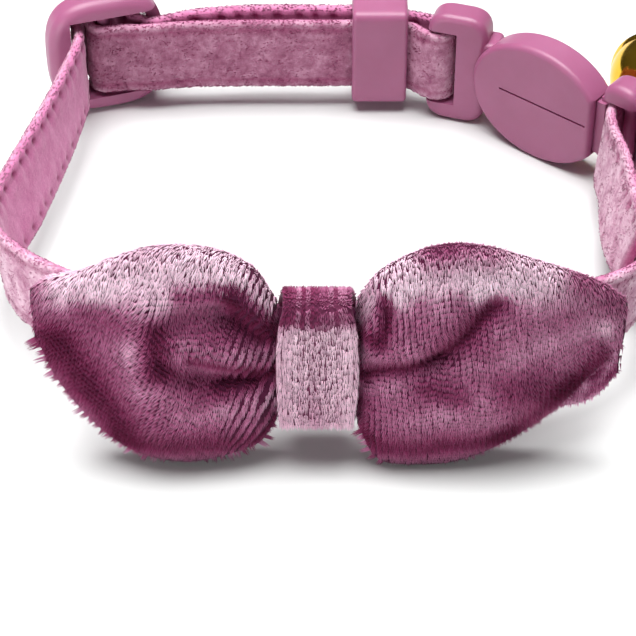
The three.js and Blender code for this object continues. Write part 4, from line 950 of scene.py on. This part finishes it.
def join(main, parts, op):
    for k, (V, F) in enumerate(parts):
        o = temp("cutter", V, F)
        mod = main.modifiers.new("cut", "BOOLEAN")
        mod.operation, mod.object, mod.solver = op, o, "EXACT"
        dep = bpy.context.evaluated_depsgraph_get()
        new = bpy.data.meshes.new_from_object(main.evaluated_get(dep))
        main.modifiers.clear(); old = main.data; main.data = new
        bpy.data.meshes.remove(old)
        mesh = o.data; bpy.data.objects.remove(o); bpy.data.meshes.remove(mesh)
    return main


def turned(VF, f, z=0.0):
    V, F = VF
    V = np.asarray(V, float); t = rad(f["turn"])
    x = f["x"] + V[:, 0] * math.cos(t) - V[:, 1] * math.sin(t)
    y = f["y"] + V[:, 0] * math.sin(t) + V[:, 1] * math.cos(t)
    return np.stack([x, y, V[:, 2] + z], 1), F


def finish_moulding(obj, name, material, node_name, bevel=0.32):
    """Softens the cut edges, applies it, and places the piece."""
    mod = obj.modifiers.new("soften", "BEVEL")
    mod.width, mod.segments, mod.limit_method, mod.angle_limit, mod.use_clamp_overlap, mod.harden_normals = bevel * 0.001, 3, "ANGLE", rad(38), True, False
    dep = bpy.context.evaluated_depsgraph_get()
    new = bpy.data.meshes.new_from_object(obj.evaluated_get(dep))
    obj.modifiers.clear(); obj.data = new
    co = np.empty(len(new.vertices) * 3, np.float32); new.vertices.foreach_get("co", co)
    new.vertices.foreach_set("co", (co.reshape(-1, 3) + OFF * 0.001).astype(np.float32).ravel())
    bm = bmesh.new(); bm.from_mesh(new)
    bmesh.ops.remove_doubles(bm, verts=bm.verts, dist=1e-6)
    big = [f for f in bm.faces if len(f.verts) > 4]
    bmesh.ops.triangulate(bm, faces=big)
    bmesh.ops.recalc_face_normals(bm, faces=bm.faces)
    bm.to_mesh(new); bm.free()
    new.polygons.foreach_set("use_smooth", np.full(len(new.polygons), True))
    new.set_sharp_from_angle(angle=rad(30))
    new.materials.clear(); new.materials.append(material)
    obj.name = name; new.name = name
    wn = obj.modifiers.new("normals", "WEIGHTED_NORMAL"); wn.keep_sharp = True
    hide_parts(node_name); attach(obj, "root")
    return obj


def strap_frame(f):
    """A rounded plate for a frame; its opening is cut and its bar added where it is used."""
    VF = rounded_plate(even_loop(rounded_rect(0, f["long"], -f["half"], f["half"], f["corner"]), 0.3), 4.2, 1.0)
    return VF


def socket_piece(material):
    B, f = BUCKLE, SOCKET_FRAME
    z = B["z"]
    main = temp("socket", *turned(rounded_plate(outline_ellipse(B["mid"], B["half_long"], B["half_tall"], B["end"]), B["thick"], 0.8, 7), B, z))
    frame_part = temp("frame", *turned(strap_frame(f), f, z))
    frame_part = join(frame_part, [turned(block(-2, f["slot"][1], -9, 9, -5.4, 5.4), f, z)], "DIFFERENCE")
    bar = (f["bar"][0] + f["bar"][1]) / 2
    V = np.empty(len(frame_part.data.vertices) * 3); frame_part.data.vertices.foreach_get("co", V)
    F = [tuple(p.vertices) for p in frame_part.data.polygons]
    mesh = frame_part.data; bpy.data.objects.remove(frame_part); bpy.data.meshes.remove(mesh)
    main = join(main, [(V.reshape(-1, 3) * 1000, F), turned(rod(bar, 0, 0.85, -5.9, 5.9), f, z), turned(rounded_plate(even_loop(rounded_rect(4.6, 9.4, -4.6, 4.6, 0.8), 0.4), 3.8, 0.6, 3), f, z)], "UNION")
    # the breakaway groove on both faces, and the mouth that the plug goes into
    y = B["thick"] / 2
    cuts = [turned(block(-6.2, 6.9, s * y - 0.11, s * y + 0.28, 0.16, 0.44), B, z) for s in (-1, 1)]
    cuts.append(turned(block(B["end"] - 1.2, B["end"] + 2, -1.2, 1.2, -4.1, 4.1), B, z))
    main = join(main, cuts, "DIFFERENCE")
    return finish_moulding(main, "buckle_socket_moulding", material, "buckle_socket", 0.14)


def plug_piece(material):
    B, f = BUCKLE, PLUG_FRAME
    z = B["z"]
    main = temp("plug", *turned(rounded_plate(even_loop(rounded_rect(0, f["long"], -f["half"], f["half"], f["corner"]), 0.3), 4.2, 1.15, 7), f, z))
    main = join(main, [turned(block(f["slot"][0], f["long"] + 2, -9, 9, -5.4, 5.4), f, z), turned(block(-2, f["slot"][0] + 0.1, -9, -0.4, -5.4, 5.4), f, z)], "DIFFERENCE")
    bar = (f["bar"][0] + f["bar"][1]) / 2
    ex, ey = plan(f, -0.05, 4.1)
    eye = rod(ex, ey, 1.7, z - 0.65, z + 0.65, 36)
    root = turned(block(-0.65, 0.55, 1.5, 4.1, -0.65, 0.65), f, z)
    main = join(main, [turned(rod(bar, 0, 0.85, -5.9, 5.9), f, z), turned(block(B["end"] + 0.3, B["end"] + 1.6, -0.4, 1.8, -4.4, 4.4), B, z),
                       turned(block(B["end"] - 2.0, B["end"] + 1.2, -0.9, 0.9, -3.8, 3.8), B, z), root, eye], "UNION")
    main = join(main, [rod(ex, ey, 1.0, z - 2, z + 2, 30)], "DIFFERENCE")
    return finish_moulding(main, "buckle_plug_moulding", material, "buckle_plug", 0.2)


def slider_piece(material):
    S = SLIDER
    t = np.linspace(0, 2 * math.pi, 220, endpoint=False)
    c, s, p = np.cos(t), np.sin(t), 2 / 3.1
    out = even_loop(np.stack([S["half_long"] * np.sign(c) * np.abs(c) ** p, S["half_tall"] * np.sign(s) * np.abs(s) ** p], 1), 0.32)
    main = temp("slider", *turned(rounded_plate(out, S["thick"], 1.5, 8), S, S["z"]))
    main = join(main, [turned(block(-S["slot_in"], S["slot_out"], -9, 9, -S["open"], S["open"]), S, S["z"])], "DIFFERENCE")
    main = join(main, [turned(rod(0, 0, S["bar"], -S["open"] - 0.4, S["open"] + 0.4), S, S["z"])], "UNION")
    main = join(main, [turned(block(S["slot_out"] - 0.1, S["half_long"] + 2, -9, S["side"], -S["open"], S["open"]), S, S["z"])], "DIFFERENCE")
    return finish_moulding(main, "slider_moulding", material, "slider", 0.35)


def keeper_piece(material):
    x0, x1, y0, y1, z, half = 4.4, 11.5, 64.65, 70.75, 8.3, 6.9
    prof = even_loop(rounded_rect(y0, y1, z - half, z + half, 1.2, 8), 0.3)
    V, F = rounded_plate(prof, x1 - x0, 0.55, 5)
    V = np.stack([V[:, 1] + (x0 + x1) / 2, V[:, 0], V[:, 2]], 1)
    main = temp("keeper", V, F)
    main = join(main, [block(x0 - 3, x1 + 3, y0 + 0.95, y1 - 0.95, z - half + 0.9, z + half - 0.9)], "DIFFERENCE")
    return finish_moulding(main, "keeper_moulding", material, "keeper_loop", 0.25)


# ------------------------------------------------------------------ bell and ring
def bell_pieces(material):
    ex, ey = plan(PLUG_FRAME, -0.05, 4.1)
    eye = np.array([ex, ey, 8.0])
    ring_r, radius, shank = 2.03, 6.0, 1.2
    reach = 2 * ring_r + radius + shank * 0.85
    way = unit(np.array([0.48, 0.877, 0.0]))
    centre = eye + way * math.sqrt(reach ** 2 - 1.6 ** 2); centre[2] = 8.0 - 1.6
    Y = unit(eye - centre); Z = unit(np.array([0, 0, 1.0]) - Y * Y[2]); X = np.cross(Y, Z)
    frame_m = np.stack([X, Y, Z], 1)
    prof = []
    for i in range(61):
        t = -math.pi / 2 + math.pi * i / 60
        r, y = radius * math.cos(t), radius * math.sin(t)
        if abs(y) < 0.62:
            bulge = 0.36 * (0.5 + 0.5 * math.cos(math.pi * y / 0.62)) ** 0.6
            r += bulge
        prof.append((max(r, 0), y))
    inner = [((radius - 0.55) * math.cos(t), (radius - 0.55) * math.sin(t)) for t in np.linspace(-math.pi / 2, math.pi / 2, 41)]
    def lathe(p, n=72):
        V = [(0, p[0][1], 0)]
        for r, y in p[1:-1]:
            V += [(r * math.cos(a), y, r * math.sin(a)) for a in np.linspace(0, 2 * math.pi, n, endpoint=False)]
        V.append((0, p[-1][1], 0))
        rings = len(p) - 2
        F = [(0, 1 + j, 1 + (j + 1) % n) for j in range(n)]
        for k in range(rings - 1):
            for j in range(n):
                a, b = 1 + k * n + j, 1 + k * n + (j + 1) % n
                F.append((a, a + n, b + n, b))
        last = len(V) - 1
        F += [(last, 1 + (rings - 1) * n + (j + 1) % n, 1 + (rings - 1) * n + j) for j in range(n)]
        return V, F
    def torus(R, r, centre_y, n=48, m=16, normal="z"):
        V, F = [], []
        for i in range(n):
            a = 2 * math.pi * i / n
            for j in range(m):
                b = 2 * math.pi * j / m
                q = R + r * math.cos(b)
                V.append((q * math.cos(a), q * math.sin(a) + centre_y, r * math.sin(b)))
        for i in range(n):
            for j in range(m):
                F.append((i * m + j, ((i + 1) % n) * m + j, ((i + 1) % n) * m + (j + 1) % m, i * m + (j + 1) % m))
        return V, F
    def world(VF):
        V, F = VF
        return np.asarray(V, float) @ frame_m.T + centre, F
    main = temp("bell", *world(lathe(prof)))
    main = join(main, [world(lathe(inner))], "DIFFERENCE")
    slot = world(block(-0.55, 0.55, -8, -2.4, -4.3, 4.3))
    main = join(main, [slot], "DIFFERENCE")
    holes = []
    for s in (-1, 1):
        V, F = rod(0, s * 4.3 * 0.8, 0.95, -8, -3.2, 28)
        V = np.asarray(V)[:, [0, 2, 1]]
        holes.append(world((V, F)))
    main = join(main, holes, "DIFFERENCE")
    body = finish_moulding(main, "bell_shell", material, "bell", 0.1)
    sh = np.array(torus(shank, 0.4, radius + shank * 0.85)[0]) @ frame_m.T + centre
    loop = make("bell_shank", sh, [tuple(f) for f in torus(shank, 0.4, 0)[1]], material)
    # the ring stands across both eyes
    mid = eye - Y * ring_r
    V, F = torus(ring_r, 0.4, 0, 64, 18)
    m3 = np.stack([Y, Z, np.cross(Y, Z)], 1)
    ring = make("bell_ring_wire", np.array(V) @ m3.T + mid, [tuple(f) for f in F], material, replaces=("bell_ring",))
    for o in (loop, ring):
        fix_normals(o)
    return body, loop, ring


# ------------------------------------------------------------------ build
def main():
    add_camera()
    add_world()
    sc = bpy.context.scene
    sc.view_settings.view_transform = "Standard"
    sc.view_settings.look = "None"
    # a large soft source overhead, and a weaker one low at the front left
    add_light("key", (-360, 250, 3960), (0, 20, 5), 3.4, 335)
    add_light("fill", (-290, -330, 60), (0, 10, 8), 0.28, 1.25)
    floor_m, t, b = new_material("floor")
    t.links.new(ramp(t, [(0.3, (0.685, 0.695, 0.69)), (0.7, (0.715, 0.725, 0.72))], noise(t, 3, 2, 0.5)), b.inputs["Base Color"])
    b.inputs["Roughness"].default_value = 0.9
    b.inputs["Specular IOR Level"].default_value = 0.1
    mesh = bpy.data.meshes.new("floor")
    mesh.from_pydata([(-1.8, -1.8, 0), (1.8, -1.8, 0), (1.8, 1.8, 0), (-1.8, 1.8, 0)], [], [(0, 1, 2, 3)])
    mesh.materials.append(floor_m)
    floor = bpy.data.objects.new("floor", mesh)
    sc.collection.objects.link(floor)

    mauve, brass = plastic(), gold()
    # the ground cloths are painted near black as the shade seen between the strands
    bow_ground = ground_material("bow_ground", (0.040, 0.004, 0.018), (0.10, 0.014, 0.050))
    bow_pile = pile_material("bow_pile", (0.085, 0.008, 0.036), (0.58, 0.225, 0.385), (0.92, 0.69, 0.81))
    band_ground = ground_material("band_ground", (0.070, 0.010, 0.035), (0.17, 0.04, 0.09))
    band_pile = pile_material("band_pile", (0.10, 0.012, 0.045), (0.60, 0.29, 0.43), (0.95, 0.72, 0.83))
    tape_m = tape_material()
    tape_pile = pile_material("tape_pile", (0.34, 0.10, 0.19), (0.52, 0.22, 0.34), (0.74, 0.42, 0.56))

    strap_piece(tape_m)
    strap_pile(tape_pile)
    made, area, G = bow_pieces(bow_ground, bow_pile)
    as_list(made[1:])
    cloth, fur, flat = band_piece(band_ground, band_pile)
    socket_piece(mauve)
    plug_piece(mauve)
    slider_piece(mauve)
    keeper_piece(mauve)
    bell_pieces(brass)


main()
